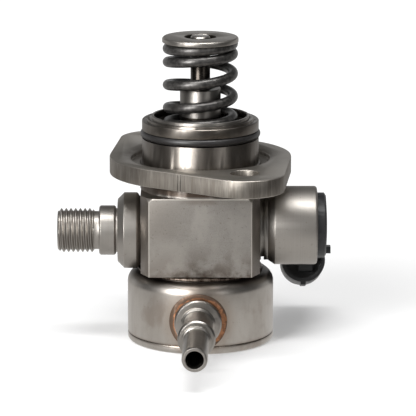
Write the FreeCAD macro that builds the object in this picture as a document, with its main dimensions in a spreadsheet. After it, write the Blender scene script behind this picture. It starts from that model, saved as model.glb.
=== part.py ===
import FreeCAD, Part

# High pressure fuel pump of a petrol direct injection engine, with its return spring upwards.
# Millimetres. The origin is on the pump axis, in the flange face that seats on the engine. +Z points
# out of that face, along the plunger. The outlet leaves along -X, the solenoid along +X and the
# inlet nipple along -Y.

import math
import os

import Sketcher

Vector = FreeCAD.Vector

# Driving dimensions: alias, value, meaning. Heights named low or high are read from the flange face.
SIZES = (
    # mounting flange, a stamped plate
    ("flange_thick", 5.6, "thickness of the mounting flange"),
    ("flange_r", 28.8, "radius of the flange round the pilot"),
    ("lobe_r", 12.5, "radius of the flange's two ears"),
    ("bolt_circle", 63.0, "pitch circle of the two bolts"),
    ("bolt_angle", -64.3, "angle of the near bolt from +X"),
    ("bolt_hole_r", 4.5, "clearance hole for an M8 bolt"),
    ("dish_r", 22.0, "recess in the flange round the pilot"),
    ("dish_deep", 2.2, "depth of that recess"),
    ("dish_bevel", 2.6, "width of the bevel at its edge"),
    ("dish_bevel_deep", 0.8, "depth of the bevel"),
    # pump body: block, pilot and the passages in it
    ("block_half_x", 18.8, "half width of the block"),
    ("block_half_y", 18.7, "half depth of the block"),
    ("block_cut_x", 2.65, "corner cut, measured along X"),
    ("block_cut_y", 5.3, "corner cut, measured along Y"),
    ("block_low", -35.6, "underside of the block"),
    ("block_high", -10.4, "top of the block"),
    ("block_turn_r", 23.9, "radius left at the top by the turned chamfer"),
    ("block_turn_w", 0.9, "width of the turned chamfer"),
    ("block_turn_deep", 1.5, "depth of the turned chamfer"),
    ("neck_r", 19.1, "round neck between block and flange, and the flange's seat"),
    ("weld_bead", 1.0, "size of the weld bead under the flange"),
    ("pilot_r", 18.5, "pilot that centres the pump in the engine"),
    ("groove_low", 5.8, "lower side of the O-ring groove"),
    ("groove_wide", 2.65, "width of the O-ring groove"),
    ("groove_deep", 1.9, "depth of the O-ring groove"),
    ("pilot_high", 11.5, "top of the pilot's land"),
    ("rim_high", 12.0, "top of the pilot's inner step"),
    ("rim_step", 1.5, "ledge between that step and the pilot's edge"),
    ("rim_drop", 0.25, "drop of the ledge under the pilot's edge"),
    ("pilot_edge", 0.25, "chamfer of the pilot's edge"),
    ("shoulder_wide", 5.35, "width of the housing's shoulder outside the spigot"),
    ("spigot_long", 5.9, "length of the spigot"),
    ("chamber_r", 5.5, "pumping chamber"),
    ("chamber_low", -30.0, "floor of the pumping chamber"),
    ("leak_wide", 2.5, "width of the leak space round the barrel's head"),
    ("leak_deep", 3.0, "depth of the leak space"),
    ("leak_drill_r", 1.25, "drilling from the leak space to the damper"),
    ("leak_drill_gap", 1.65, "its distance from the barrel's head"),
    ("feed_drill_r", 1.75, "drilling from the damper to the inlet valve"),
    ("feed_drill_inset", 4.3, "its distance inside the spigot's edge"),
    ("passage_r", 1.6, "passage from the chamber to the outlet valve"),
    ("o_ring_wire_r", 1.2, "half the thickness of the pilot O-ring"),
    # cylinder, plunger and their spring
    ("barrel_r", 7.5, "outside of the cylinder barrel"),
    ("barrel_low", -15.5, "bottom of the barrel"),
    ("barrel_high", 5.0, "top of the barrel"),
    ("barrel_head_wide", 2.0, "reach of the head over the barrel"),
    ("barrel_head_tall", 3.0, "height of that head"),
    ("plunger_r", 4.5, "plunger in the barrel"),
    ("plunger_fit", 0.03, "running clearance of the plunger"),
    ("plunger_low", -13.0, "working end of the plunger at rest"),
    ("plunger_long", 14.5, "length of the thick part"),
    ("stem_r", 3.1, "stem of the plunger"),
    ("stem_high", 38.2, "driven end of the stem"),
    ("stem_edge", 0.5, "chamfer of the driven end"),
    ("neck_groove_r", 2.3, "groove in the stem that holds the retainer"),
    ("neck_groove_low", 34.2, "lower side of that groove"),
    ("neck_groove_wide", 1.6, "width of that groove"),
    ("stroke", 4.5, "travel of the plunger"),
    ("seat_high", 9.2, "spring seat above the flange face"),
    ("seat_thick", 0.9, "sheet of the seal holder"),
    ("groove_wall", 1.15, "wall between the O-ring groove and the seal holder"),
    ("cup_wall", 0.75, "wall of the seal holder's rim"),
    ("cup_high", 12.9, "top of the rim"),
    ("cup_round", 2.0, "round between rim and spring seat"),
    ("seal_wide", 2.6, "width of the plunger seal round the stem"),
    ("sleeve_wall", 0.7, "wall of the sleeve"),
    ("sleeve_high", 21.5, "top of the sleeve"),
    ("sleeve_lip_r", 4.0, "hole in the sleeve's turned-in lip"),
    ("seal_tall", 6.0, "height of the plunger seal"),
    ("seal_fit", 0.05, "clearance of the seal on the stem"),
    ("retainer_over", 0.15, "reach of the retainer over the spring"),
    ("spring_long", 27.1, "length of the return spring as fitted"),
    ("retainer_thick", 1.6, "thickness of the disc"),
    ("retainer_edge", 0.45, "chamfer of the disc"),
    ("retainer_hub_gap", 0.3, "gap between hub and spring"),
    ("retainer_hub_tall", 1.7, "height of that hub"),
    ("retainer_hole_r", 5.1, "counterbore in the disc"),
    ("retainer_hole_deep", 1.5, "depth of the counterbore"),
    ("spring_inset", 0.65, "inset of the spring from the middle between sleeve and rim"),
    ("spring_wire_r", 1.6, "half the wire of the return spring"),
    ("spring_turns", 5.25, "turns of the return spring"),
    # damper housing, lid and the capsule inside
    ("housing_r", 23.25, "outside of the damper housing"),
    ("housing_wall", 1.4, "wall of the housing"),
    ("housing_gap", 1.3, "gap between the block and the housing's shoulder"),
    ("shoulder_round", 3.9, "outer round of the shoulder"),
    ("seat_bead_wide", 1.9, "width of the weld bead on the shoulder"),
    ("seat_bead_tall", 1.1, "height of that bead"),
    ("seam_high", -57.0, "seam between housing and lid"),
    ("seam_edge", 0.25, "chamfer on both sides of the seam"),
    ("base_low", -59.5, "underside of the lid, on which the pump stands"),
    ("lid_thick", 1.5, "bottom of the lid"),
    ("lid_round", 1.1, "round of the lid's lower edge"),
    ("lid_lip", 1.6, "height of the lid's lip inside the housing"),
    ("capsule_gap", 4.05, "gap between the damper capsule and the housing"),
    ("capsule_mid", -49.7, "height of the capsule's rim"),
    ("capsule_bulge", 2.6, "rise of one diaphragm"),
    ("capsule_sheet", 0.4, "sheet of a diaphragm"),
    ("support_wall", 0.8, "sheet of the support rings"),
    ("support_inset", 0.2, "inset of the support rings from the capsule's rim"),
    ("support_window", 5.0, "width of the windows in the support rings"),
    # inlet nipple
    ("nipple_high", -48.95, "height of the nipple's axis"),
    ("nipple_aside", -0.23, "offset of its axis from the pump axis"),
    ("nipple_yaw", -1.16, "turn of the nipple from -Y"),
    ("nipple_spigot_r", 5.0, "spigot of the nipple in the housing wall"),
    ("nipple_base_r", 7.45, "base disc of the nipple"),
    ("nipple_base_out", 2.05, "front of the base disc, outside the housing"),
    ("nipple_root_r", 5.4, "ring at the root of the tube"),
    ("nipple_root_long", 1.6, "length of that ring"),
    ("nipple_neck_r", 4.7, "tube between root and bead"),
    ("nipple_bead_out", 20.05, "middle of the bead, outside the housing"),
    ("nipple_bead_r", 5.9, "bead that the line's lock grips"),
    ("nipple_bead_half", 1.1, "half the length of the bead"),
    ("nipple_step_r", 4.6, "step in front of the bead"),
    ("nipple_step_long", 1.8, "length of the step"),
    ("nipple_tube_r", 3.95, "tube that enters the fuel line"),
    ("nipple_out", 44.85, "end of the tube, outside the housing"),
    ("nipple_tip_r", 3.7, "end face of the tube"),
    ("nipple_tip_long", 0.9, "length of the lead-in"),
    ("nipple_bore_r", 2.8, "bore of the nipple"),
    ("braze_wide", 1.65, "width of the braze fillet round the base disc"),
    ("braze_thick", 0.5, "height of the braze fillet"),
    ("filter_long", 7.0, "length of the inlet strainer"),
    ("filter_wall", 0.5, "wall of the strainer"),
    # outlet fitting
    ("outlet_high", -24.55, "height of the outlet axis"),
    ("outlet_collar_r", 12.1, "collar of the fitting"),
    ("outlet_collar_edge", 0.5, "chamfer on the back of the collar, clear of the damper housing"),
    ("outlet_collar_long", 6.6, "length of the collar"),
    ("outlet_collar_cone", 2.1, "chamfer on the front of the collar"),
    ("outlet_bead_long", 0.9, "length of the weld bead"),
    ("outlet_bead_r", 10.3, "weld bead between collar and block"),
    ("outlet_neck_r", 7.0, "short neck in front of the collar"),
    ("outlet_land_r", 7.9, "plain cylinder of the fitting"),
    ("outlet_neck_long", 0.6, "length of the short neck"),
    ("outlet_land_long", 5.3, "length of the plain cylinder"),
    ("outlet_relief_r", 6.1, "thread relief"),
    ("thread_r", 7.0, "outside of the M14 thread"),
    ("outlet_relief_long", 2.1, "length of the relief"),
    ("thread_long", 11.1, "length of the thread"),
    ("thread_edge", 1.0, "chamfer at the thread's end"),
    ("cone_r", 4.9, "mouth of the sealing cone"),
    ("cone_deep", 3.6, "depth of the sealing cone"),
    ("outlet_bore_r", 1.7, "bore behind the cone"),
    ("valve_space_r", 4.6, "space for the outlet valve"),
    ("valve_space_long", 19.0, "length of that space"),
    ("outlet_spigot_r", 7.2, "spigot of the fitting in the block"),
    ("outlet_spigot_long", 7.8, "depth of the spigot in the block"),
    ("outlet_seat_thick", 3.0, "outlet valve seat"),
    ("outlet_ball_r", 2.4, "outlet valve ball"),
    ("outlet_lift", 0.4, "lift of the outlet valve"),
    ("stop_after", 11.5, "distance of the valve stop from the seat"),
    ("stop_thick", 2.0, "thickness of the stop"),
    # solenoid and inlet valve
    ("solenoid_high", -22.9, "height of the solenoid axis"),
    ("inlet_bore_r", 8.5, "bore in the block for the valve housing"),
    ("inlet_bore_wall", 3.5, "wall between the chamber and the valve housing"),
    ("inlet_port_r", 5.4, "port from the inlet valve to the chamber"),
    ("bobbin_clear", 0.2, "clearance of the bobbin in the can"),
    ("neck_ring_r", 11.05, "neck of the valve housing"),
    ("neck_ring_gap", 1.0, "width of the groove round the neck"),
    ("neck_ring_deep", 1.0, "depth of that groove"),
    ("neck_ring_long", 2.6, "length of the neck between block and can"),
    ("can_cone_long", 2.2, "length of the can's cone"),
    ("can_r", 12.5, "outside of the can"),
    ("can_long", 13.5, "length of the can's cylinder"),
    ("can_wall", 1.2, "wall of the can"),
    ("can_round", 0.9, "round at the can's front"),
    ("can_lip", 1.9, "width of the can's turned-in front"),
    ("valve_seat_r", 3.0, "mouth of the inlet valve's port"),
    ("valve_disc_r", 4.6, "inlet valve disc"),
    ("valve_disc_thick", 1.2, "thickness of the disc"),
    ("valve_lift", 0.35, "lift of the inlet valve and armature"),
    ("cage_spring_long", 1.8, "fitted length of the inlet valve's spring"),
    ("cage_thick", 1.0, "floor of the cage that carries it"),
    ("rod_r", 1.2, "rod that pushes the inlet valve open"),
    ("rod_fit", 0.04, "running clearance of the rod"),
    ("base_into_can", 3.2, "reach of the valve housing into the can"),
    ("guide_r", 7.2, "outside of the non-magnetic guide tube"),
    ("guide_wall", 0.6, "wall of the guide tube"),
    ("armature_r", 6.55, "armature"),
    ("armature_fit", 0.05, "running clearance of the armature"),
    ("armature_gap", 0.4, "gap behind the armature at rest"),
    ("armature_long", 5.2, "length of the armature"),
    ("core_gap", 0.1, "air gap left when the armature is pulled in"),
    ("core_inset", 0.9, "inset of the magnet core from the can's front"),
    ("spring_hole_r", 2.2, "hole for the armature spring"),
    ("bobbin_gap", 0.4, "gap between valve housing and bobbin"),
    ("bobbin_long", 10.0, "length of the bobbin"),
    ("bobbin_flange", 1.0, "flanges of the bobbin"),
    ("bobbin_wall", 0.9, "tube of the bobbin"),
    ("winding_inset", 0.5, "inset of the winding inside the bobbin's flanges"),
    # connector moulding
    ("cap_inset", 0.2, "gap between the end disc and the can's mouth"),
    ("cap_out", 3.1, "reach of the end disc out of the can"),
    ("cap_round", 0.9, "round of the end disc"),
    ("tab_out", 1.3, "reach of the small tab"),
    ("tab_tall", 2.1, "height of the tab"),
    ("tab_wide", 3.0, "width of the tab"),
    ("tab_below", 7.9, "drop of the tab from the solenoid axis"),
    ("socket_back", 3.9, "middle of the connector behind the can's front"),
    ("socket_y", 11.4, "camera end of the connector"),
    ("socket_below", 1.7, "drop of the connector below the can"),
    ("socket_tilt", 17.0, "tilt of the connector below level"),
    ("socket_r", 7.05, "outside of the connector barrel"),
    ("socket_long", 20.0, "length of the connector barrel"),
    ("socket_wall", 1.3, "wall of the connector barrel"),
    ("socket_deep", 13.0, "depth of the socket"),
    ("core_out", 4.0, "depth of the hollow in the closed end"),
    ("rib_wide", 4.4, "width of the rib in that hollow"),
    ("rib_aside", 0.7, "offset of the rib"),
    ("rib_below", 3.4, "reach of the rib below the connector's middle"),
    ("bridge_wide", 9.0, "width of the bridge to the end disc"),
    ("latch_wide", 1.7, "width of the latch ramp"),
    ("latch_tall", 0.9, "height of the latch ramp"),
    ("blade_wide", 2.8, "width of a terminal blade"),
    ("blade_thick", 0.8, "thickness of a terminal blade"),
    ("blade_pitch", 5.0, "pitch of the two blades"),
    ("blade_out", 8.5, "length of a blade in the socket"),
)


class Dim:
    """A number that keeps the spreadsheet formula it comes from."""

    def __init__(self, value, text):
        self.value = value
        self.text = text

    def __add__(self, other):
        other = as_dim(other)
        return Dim(self.value + other.value, f"({self.text} + {other.text})")

    def __radd__(self, other):
        return as_dim(other) + self

    def __sub__(self, other):
        other = as_dim(other)
        return Dim(self.value - other.value, f"({self.text} - {other.text})")

    def __rsub__(self, other):
        return as_dim(other) - self

    def __mul__(self, other):
        other = as_dim(other)
        return Dim(self.value * other.value, f"({self.text} * {other.text})")

    def __rmul__(self, other):
        return as_dim(other) * self

    def __truediv__(self, other):
        other = as_dim(other)
        return Dim(self.value / other.value, f"({self.text} / {other.text})")

    def __neg__(self):
        return Dim(-self.value, f"(0 - {self.text})")


def as_dim(number):
    return number if isinstance(number, Dim) else Dim(float(number), f"({float(number)})")


def cosine(angle):
    return Dim(math.cos(math.radians(angle.value)), f"cos({angle.text})")


def sine(angle):
    return Dim(math.sin(math.radians(angle.value)), f"sin({angle.text})")


class Named:
    """The driving dimensions by name."""


doc = FreeCAD.newDocument("high_pressure_fuel_pump")
sheet = doc.addObject("Spreadsheet::Sheet", "Sizes")
size = Named()
for row, (alias, number, meaning) in enumerate(SIZES, start=1):
    sheet.set(f"A{row}", str(number))
    sheet.set(f"B{row}", meaning)
    sheet.setAlias(f"A{row}", alias)
    setattr(size, alias, Dim(float(number), f"Sizes.{alias}"))
doc.recompute()


def derive(alias, amount, meaning):
    """A size that follows others, as a formula in the sheet."""
    cell = len(SIZES) + len(followers) + 1
    followers.append(alias)
    sheet.set(f"A{cell}", "=" + amount.text.replace("Sizes.", ""))
    sheet.set(f"B{cell}", meaning)
    sheet.setAlias(f"A{cell}", alias)
    setattr(size, alias, Dim(amount.value, f"Sizes.{alias}"))


followers = []
derive("groove_r", size.pilot_r - size.groove_deep, "bottom of the O-ring groove")
derive("cup_r", size.groove_r - size.groove_wall, "outside of the seal holder's rim")
derive("spigot_r", size.housing_r - size.shoulder_wide, "spigot that closes the damper housing")
derive("spigot_low", size.block_low - size.spigot_long, "underside of the spigot")
derive("feed_drill_x", size.spigot_r - size.feed_drill_inset, "distance of the feed drilling from the axis")
derive("barrel_head_r", size.barrel_r + size.barrel_head_wide, "head of the barrel")
derive("leak_r", size.barrel_head_r + size.leak_wide, "leak space under the spring seat")
derive("leak_drill_y", size.barrel_head_r + size.leak_drill_gap + size.leak_drill_r, "place of the leak drilling")
derive("sleeve_r", size.stem_r + size.seal_fit + size.seal_wide + size.sleeve_wall, "outside of the sleeve")
derive("spring_mean_r", (size.sleeve_r + size.cup_r) / 2 - size.spring_inset, "mean radius of the return spring")
derive("retainer_r", size.spring_mean_r + size.spring_wire_r + size.retainer_over, "spring retainer disc")
derive("retainer_hub_r", size.spring_mean_r - size.spring_wire_r - size.retainer_hub_gap, "hub under the disc")
derive("retainer_low", size.seat_high + size.spring_long, "underside of the retainer disc")
derive("capsule_r", size.housing_r - size.housing_wall - size.capsule_gap, "rim of the damper capsule")
derive("support_r", size.capsule_r - size.support_inset, "outside of the support rings")
derive("nipple_base_front", size.housing_r + size.nipple_base_out, "front of the nipple's base disc")
derive("nipple_bead_at", size.housing_r + size.nipple_bead_out, "middle of the nipple's bead")
derive("nipple_tip", size.housing_r + size.nipple_out, "end of the nipple's tube")
derive("braze_r", size.nipple_base_r + size.braze_wide, "outside of the braze fillet")
derive("outlet_collar_back", size.block_half_x + size.outlet_bead_long, "back of the outlet's collar")
derive("outlet_collar_front", size.outlet_collar_back + size.outlet_collar_long, "front of that collar")
derive("outlet_land_back", size.outlet_collar_front + size.outlet_neck_long, "back of the plain cylinder")
derive("outlet_land_front", size.outlet_land_back + size.outlet_land_long, "front of the plain cylinder")
derive("thread_back", size.outlet_land_front + size.outlet_relief_long, "start of the thread")
derive("outlet_tip", size.thread_back + size.thread_long, "end of the outlet fitting")
derive("outlet_spigot_in", size.block_half_x - size.outlet_spigot_long, "inner end of its spigot")
derive("valve_space_end", size.outlet_spigot_in + size.valve_space_long, "end of the outlet valve's space")
derive("stop_at", size.outlet_spigot_in + size.outlet_seat_thick + size.stop_after, "face of its stop")
derive("inlet_bore_in", size.chamber_r + size.inlet_bore_wall, "inner end of the valve housing's bore")
derive("cone_start", size.block_half_x + size.neck_ring_long, "start of the cone at the can")
derive("can_back", size.cone_start + size.can_cone_long, "back of the can's cylinder")
derive("can_front", size.can_back + size.can_long, "front of the can")
derive("base_end", size.cone_start + size.base_into_can, "end of the valve housing inside the coil")
derive("armature_back", size.base_end + size.armature_gap, "back of the armature at rest")
derive("bobbin_back", size.base_end + size.bobbin_gap, "back of the bobbin")
derive("bobbin_front", size.bobbin_back + size.bobbin_long, "front of the bobbin")
derive("bobbin_r", size.can_r - size.can_wall - size.bobbin_clear, "flanges of the bobbin")
derive("winding_r", size.bobbin_r - size.winding_inset, "outside of the winding")
derive("core_end", size.can_front - size.core_inset, "end of the magnet core")
derive("can_mouth_r", size.can_r - size.can_lip, "opening in the can's front")
derive("cap_r", size.can_mouth_r - size.cap_inset, "end disc of the moulding")
derive("cap_front", size.can_front + size.cap_out, "front of the end disc")
derive("socket_x", size.can_front - size.socket_back, "middle of the connector along X")
derive("socket_drop", size.can_r + size.socket_below, "drop of the connector from the solenoid axis")
doc.recompute()

# frames: every turned piece is drawn with its axis along its own Z
UPRIGHT = FreeCAD.Rotation()
TO_OUTLET = FreeCAD.Rotation(Vector(0, 1, 0), -90)
TO_SOLENOID = FreeCAD.Rotation(Vector(0, 1, 0), 90)
TO_INLET = FreeCAD.Rotation(Vector(1, 0, 0), 90)

made = []


def bind(thing, prop, amount):
    """Sets a property from a dimension and keeps it tied to the sheet."""
    thing.setExpression(prop, as_dim(amount).text)


def place(thing, x=0, y=0, z=0, turn=UPRIGHT):
    thing.Placement = FreeCAD.Placement(Vector(as_dim(x).value, as_dim(y).value, as_dim(z).value), turn)
    for axis, amount in (("x", x), ("y", y), ("z", z)):
        if isinstance(amount, Dim):
            bind(thing, f"Placement.Base.{axis}", amount)


def body(name, x=0, y=0, z=0, turn=UPRIGHT):
    """A new sub-part in its own frame."""
    piece = doc.addObject("PartDesign::Body", name)
    piece.Label = name
    place(piece, x, y, z, turn)
    made.append(piece)
    return piece


def sketch(piece, name, role="XZ_Plane", lift=0):
    """A sketch on one of the piece's own planes, lifted along the plane's normal."""
    drawing = piece.newObject("Sketcher::SketchObject", name)
    plane = [part for part in piece.Origin.OriginFeatures if part.Role == role][0]
    drawing.AttachmentSupport = (plane, [""])
    drawing.MapMode = "FlatFace"
    if isinstance(lift, Dim):
        drawing.AttachmentOffset = FreeCAD.Placement(Vector(0, 0, lift.value), UPRIGHT)
        bind(drawing, "AttachmentOffset.Base.z", lift)
    return drawing


def fix(drawing, geo, pos, x, y):
    """Ties one point of the sketch to its two dimensions."""
    for kind, amount, axis in (("DistanceX", x, -2), ("DistanceY", y, -1)):
        if not isinstance(amount, Dim) and amount == 0:
            drawing.addConstraint(Sketcher.Constraint("PointOnObject", geo, pos, axis))
            continue
        amount = as_dim(amount)
        number = drawing.addConstraint(Sketcher.Constraint(kind, -1, 1, geo, pos, amount.value))
        bind(drawing, f"Constraints[{number}]", amount)


def rounded(before, corner, after):
    """Start, end, centre and radius of the round at a corner between two edges along the axes."""
    def along(a, b):
        dx, dy = as_dim(b[0]).value - as_dim(a[0]).value, as_dim(b[1]).value - as_dim(a[1]).value
        return (math.copysign(1, dx), 0) if abs(dx) > abs(dy) else (0, math.copysign(1, dy))

    x, y, radius = corner
    come, go = along(before, corner), along(corner, after)
    start = (x - come[0] * radius if come[0] else x, y - come[1] * radius if come[1] else y)
    end = (x + go[0] * radius if go[0] else x, y + go[1] * radius if go[1] else y)
    middle = (x + (go[0] - come[0]) * radius, y + (go[1] - come[1]) * radius)
    turns_left = come[0] * go[1] - come[1] * go[0] > 0
    return start, end, middle, radius, turns_left


def outline(drawing, corners):
    """Closed outline. A corner is (x, y), or (x, y, radius) for a round between edges along the axes."""
    pieces = []
    count = len(corners)
    for i, corner in enumerate(corners):
        if len(corner) == 2:
            pieces.append(("point", corner))
        else:
            pieces.append(("arc", rounded(corners[i - 1], corner, corners[(i + 1) % count])))
    first = drawing.GeometryCount
    joints = []
    for i, (kind, data) in enumerate(pieces):
        if kind == "arc":
            start, end, middle, radius, turns_left = data
            centre = Vector(as_dim(middle[0]).value, as_dim(middle[1]).value, 0)
            from_point, to_point = (start, end) if turns_left else (end, start)
            angles = [math.atan2(as_dim(p[1]).value - centre.y, as_dim(p[0]).value - centre.x)
                      for p in (from_point, to_point)]
            if angles[1] < angles[0]:
                angles[1] += 2 * math.pi
            circle = Part.Circle(centre, Vector(0, 0, 1), radius.value)
            geo = drawing.addGeometry(Part.ArcOfCircle(circle, *angles), False)
            ends = (1, 2) if turns_left else (2, 1)
            fix(drawing, geo, ends[0], *start)
            fix(drawing, geo, ends[1], *end)
            number = drawing.addConstraint(Sketcher.Constraint("Radius", geo, radius.value))
            bind(drawing, f"Constraints[{number}]", radius)
            joints.append((geo, ends[0], geo, ends[1], start, end))
        else:
            joints.append((None, None, None, None, data, data))
    arcs = {i: joint for i, joint in enumerate(joints) if joint[0] is not None}
    lines = {}
    for i in range(count):
        a, b = joints[i][5], joints[(i + 1) % count][4]
        start, end = [Vector(as_dim(p[0]).value, as_dim(p[1]).value, 0) for p in (a, b)]
        lines[i] = drawing.addGeometry(Part.LineSegment(start, end), False)
    for i in range(count):
        before = lines[(i - 1) % count]
        if i in arcs:
            geo, enter, _, leave, _, _ = arcs[i]
            drawing.addConstraint(Sketcher.Constraint("Coincident", before, 2, geo, enter))
            drawing.addConstraint(Sketcher.Constraint("Coincident", geo, leave, lines[i], 1))
        else:
            drawing.addConstraint(Sketcher.Constraint("Coincident", before, 2, lines[i], 1))
            fix(drawing, lines[i], 1, *joints[i][4])
    return first


def hole(drawing, x, y, radius):
    """A circle in a sketch."""
    centre = Vector(as_dim(x).value, as_dim(y).value, 0)
    geo = drawing.addGeometry(Part.Circle(centre, Vector(0, 0, 1), as_dim(radius).value), False)
    fix(drawing, geo, 3, x, y)
    number = drawing.addConstraint(Sketcher.Constraint("Radius", geo, as_dim(radius).value))
    bind(drawing, f"Constraints[{number}]", radius)


def turn(piece, name, corners, kind="PartDesign::Revolution"):
    """Turns an outline of (radius, height) corners round the piece's own Z."""
    drawing = sketch(piece, name + "_outline")
    outline(drawing, corners)
    feature = piece.newObject(kind, name)
    feature.Profile = drawing
    feature.ReferenceAxis = (drawing, ["V_Axis"])
    feature.Angle = 360
    piece.Tip = feature
    return feature


def bore(piece, name, corners):
    return turn(piece, name, corners, "PartDesign::Groove")


def side_bore(piece, name, height, corners):
    """Cuts a turned space round an axis along X at the given height; corners are (x, radius)."""
    drawing = sketch(piece, name + "_outline")
    axis = drawing.addGeometry(Part.LineSegment(Vector(-1, height.value, 0), Vector(1, height.value, 0)), True)
    fix(drawing, axis, 1, as_dim(-1), height)
    fix(drawing, axis, 2, as_dim(1), height)
    outline(drawing, [(x, height + radius) for x, radius in corners])
    feature = piece.newObject("PartDesign::Groove", name)
    feature.Profile = drawing
    feature.ReferenceAxis = (drawing, ["Axis0"])
    feature.Angle = 360
    piece.Tip = feature


def push(piece, name, drawing, depth, kind="PartDesign::Pad", reverse=False, both=False):
    """Pads or pockets a sketch."""
    feature = piece.newObject(kind, name)
    feature.Profile = drawing
    bind(feature, "Length", depth)
    feature.Reversed = reverse
    if both:
        feature.SideType = "Symmetric"
    piece.Tip = feature
    return feature


def repeat(piece, name, feature, count):
    """Copies a feature round the piece's own Z."""
    pattern = piece.newObject("PartDesign::PolarPattern", name)
    pattern.Originals = [feature]
    pattern.Axis = (piece.Origin.OriginFeatures[2], [""])
    pattern.Angle = 360
    pattern.Occurrences = count
    piece.Tip = pattern


def coil(name, mean_r, wire_r, low, high, turns, closed=(0.9, 0.9), ramp=0.2, steps=24, sides=8, turned=None):
    """A compression spring with closed, ground ends, wound right-handed along its own Z.

    The wire is a straight length for each step of a turn, so that it keeps few faces. closed gives the turns
    that lie on each other at the low and the high end.
    """
    mean_r, wire_r, low, high, turns = [as_dim(a).value for a in (mean_r, wire_r, low, high, turns)]
    ground = 1.2 * wire_r
    rise = (high - low) - 2 * wire_r + 2 * ground
    slow = 1.03 * 2 * wire_r
    quick = (rise - (sum(closed) + ramp) * slow) / (turns - sum(closed) - ramp)

    def climb(at, flat):
        """Height gained from the spring's end, with the pitch growing over the ramp."""
        part = min(max(at - flat, 0.0), ramp)
        steady = max(at - flat - ramp, 0.0)
        return slow * (at - steady) + (quick - slow) * part * part / (2 * ramp) + quick * steady

    points = []
    for i in range(int(round(turns * steps)) + 1):
        at = i / steps
        up = climb(at, closed[0]) if at <= turns / 2 else rise - climb(turns - at, closed[1])
        angle = 2 * math.pi * at
        points.append(Vector(mean_r * math.cos(angle), mean_r * math.sin(angle), low + wire_r - ground + up))
    along = (points[1] - points[0]).normalize()
    upward = along.cross(Vector(points[0].x, points[0].y, 0).normalize())
    outward = upward.cross(along)
    reach = wire_r / math.cos(math.pi / sides)
    section = []
    for i in range(sides + 1):
        angle = 2 * math.pi * (i + 0.5) / sides
        section.append(points[0] + outward * (reach * math.cos(angle)) + upward * (reach * math.sin(angle)))
    right_corner = 1
    wire = Part.makePolygon(points).makePipeShell([Part.makePolygon(section)], True, False, right_corner)
    block = Part.makeBox(4 * mean_r, 4 * mean_r, high - low, Vector(-2 * mean_r, -2 * mean_r, low))
    piece = doc.addObject("Part::Feature", name)
    piece.Label = name
    piece.Shape = wire.common(block).Solids[0]
    if turned:
        place(piece, *turned)
    made.append(piece)
    return piece


# Mounting flange

def mounting_flange():
    s = size
    piece = body("mounting_flange")
    drawing = sketch(piece, "flange_outline", "XY_Plane", -s.flange_thick)
    reach = s.bolt_circle / 2
    ears = [(reach * cosine(s.bolt_angle), reach * sine(s.bolt_angle))]
    ears.append((-ears[0][0], -ears[0][1]))
    spread = math.degrees(math.acos((s.flange_r.value - s.lobe_r.value) / reach.value))
    near = s.bolt_angle.value
    upward = Vector(0, 0, 1)

    def arc(x, y, radius, start, end):
        circle = Part.Circle(Vector(x, y, 0), upward, radius)
        return drawing.addGeometry(Part.ArcOfCircle(circle, math.radians(start), math.radians(end)), False)

    def at(x, y, radius, angle):
        return Vector(x + radius * math.cos(math.radians(angle)), y + radius * math.sin(math.radians(angle)), 0)

    x, y = ears[0][0].value, ears[0][1].value
    big, small = s.flange_r.value, s.lobe_r.value
    ear_near = arc(x, y, small, near - spread, near + spread)
    side_right = arc(0, 0, big, near + spread, near + 180 - spread)
    ear_far = arc(-x, -y, small, near + 180 - spread, near + 180 + spread)
    side_left = arc(0, 0, big, near + 180 + spread, near + 360 - spread)
    links = []
    for (a, b), (ax, ay, ar), (bx, by, br), angle in (
            ((ear_near, side_right), (x, y, small), (0, 0, big), near + spread),
            ((side_right, ear_far), (0, 0, big), (-x, -y, small), near + 180 - spread),
            ((ear_far, side_left), (-x, -y, small), (0, 0, big), near + 180 + spread),
            ((side_left, ear_near), (0, 0, big), (x, y, small), near + 360 - spread)):
        line = drawing.addGeometry(Part.LineSegment(at(ax, ay, ar, angle), at(bx, by, br, angle)), False)
        links.append((a, line, b))
    for a, line, b in links:
        drawing.addConstraint(Sketcher.Constraint("Tangent", a, 2, line, 1))
        drawing.addConstraint(Sketcher.Constraint("Tangent", line, 2, b, 1))
    for geo, place_at, radius in ((ear_near, ears[0], s.lobe_r), (ear_far, ears[1], s.lobe_r)):
        fix(drawing, geo, 3, *place_at)
        number = drawing.addConstraint(Sketcher.Constraint("Radius", geo, radius.value))
        bind(drawing, f"Constraints[{number}]", radius)
    for geo in (side_right, side_left):
        drawing.addConstraint(Sketcher.Constraint("Coincident", geo, 3, -1, 1))
        number = drawing.addConstraint(Sketcher.Constraint("Radius", geo, big))
        bind(drawing, f"Constraints[{number}]", s.flange_r)
    for ear in ears:
        hole(drawing, *ear, s.bolt_hole_r)
    hole(drawing, 0, 0, s.neck_r)
    push(piece, "flange", drawing, s.flange_thick)
    out = s.dish_r + s.dish_bevel
    bore(piece, "dish", [(0, as_dim(1)), (0, -s.dish_deep), (s.dish_r, -s.dish_deep),
                         (s.dish_r, -s.dish_bevel_deep), (out, 0), (out, as_dim(1))])


# Pump body

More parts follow.
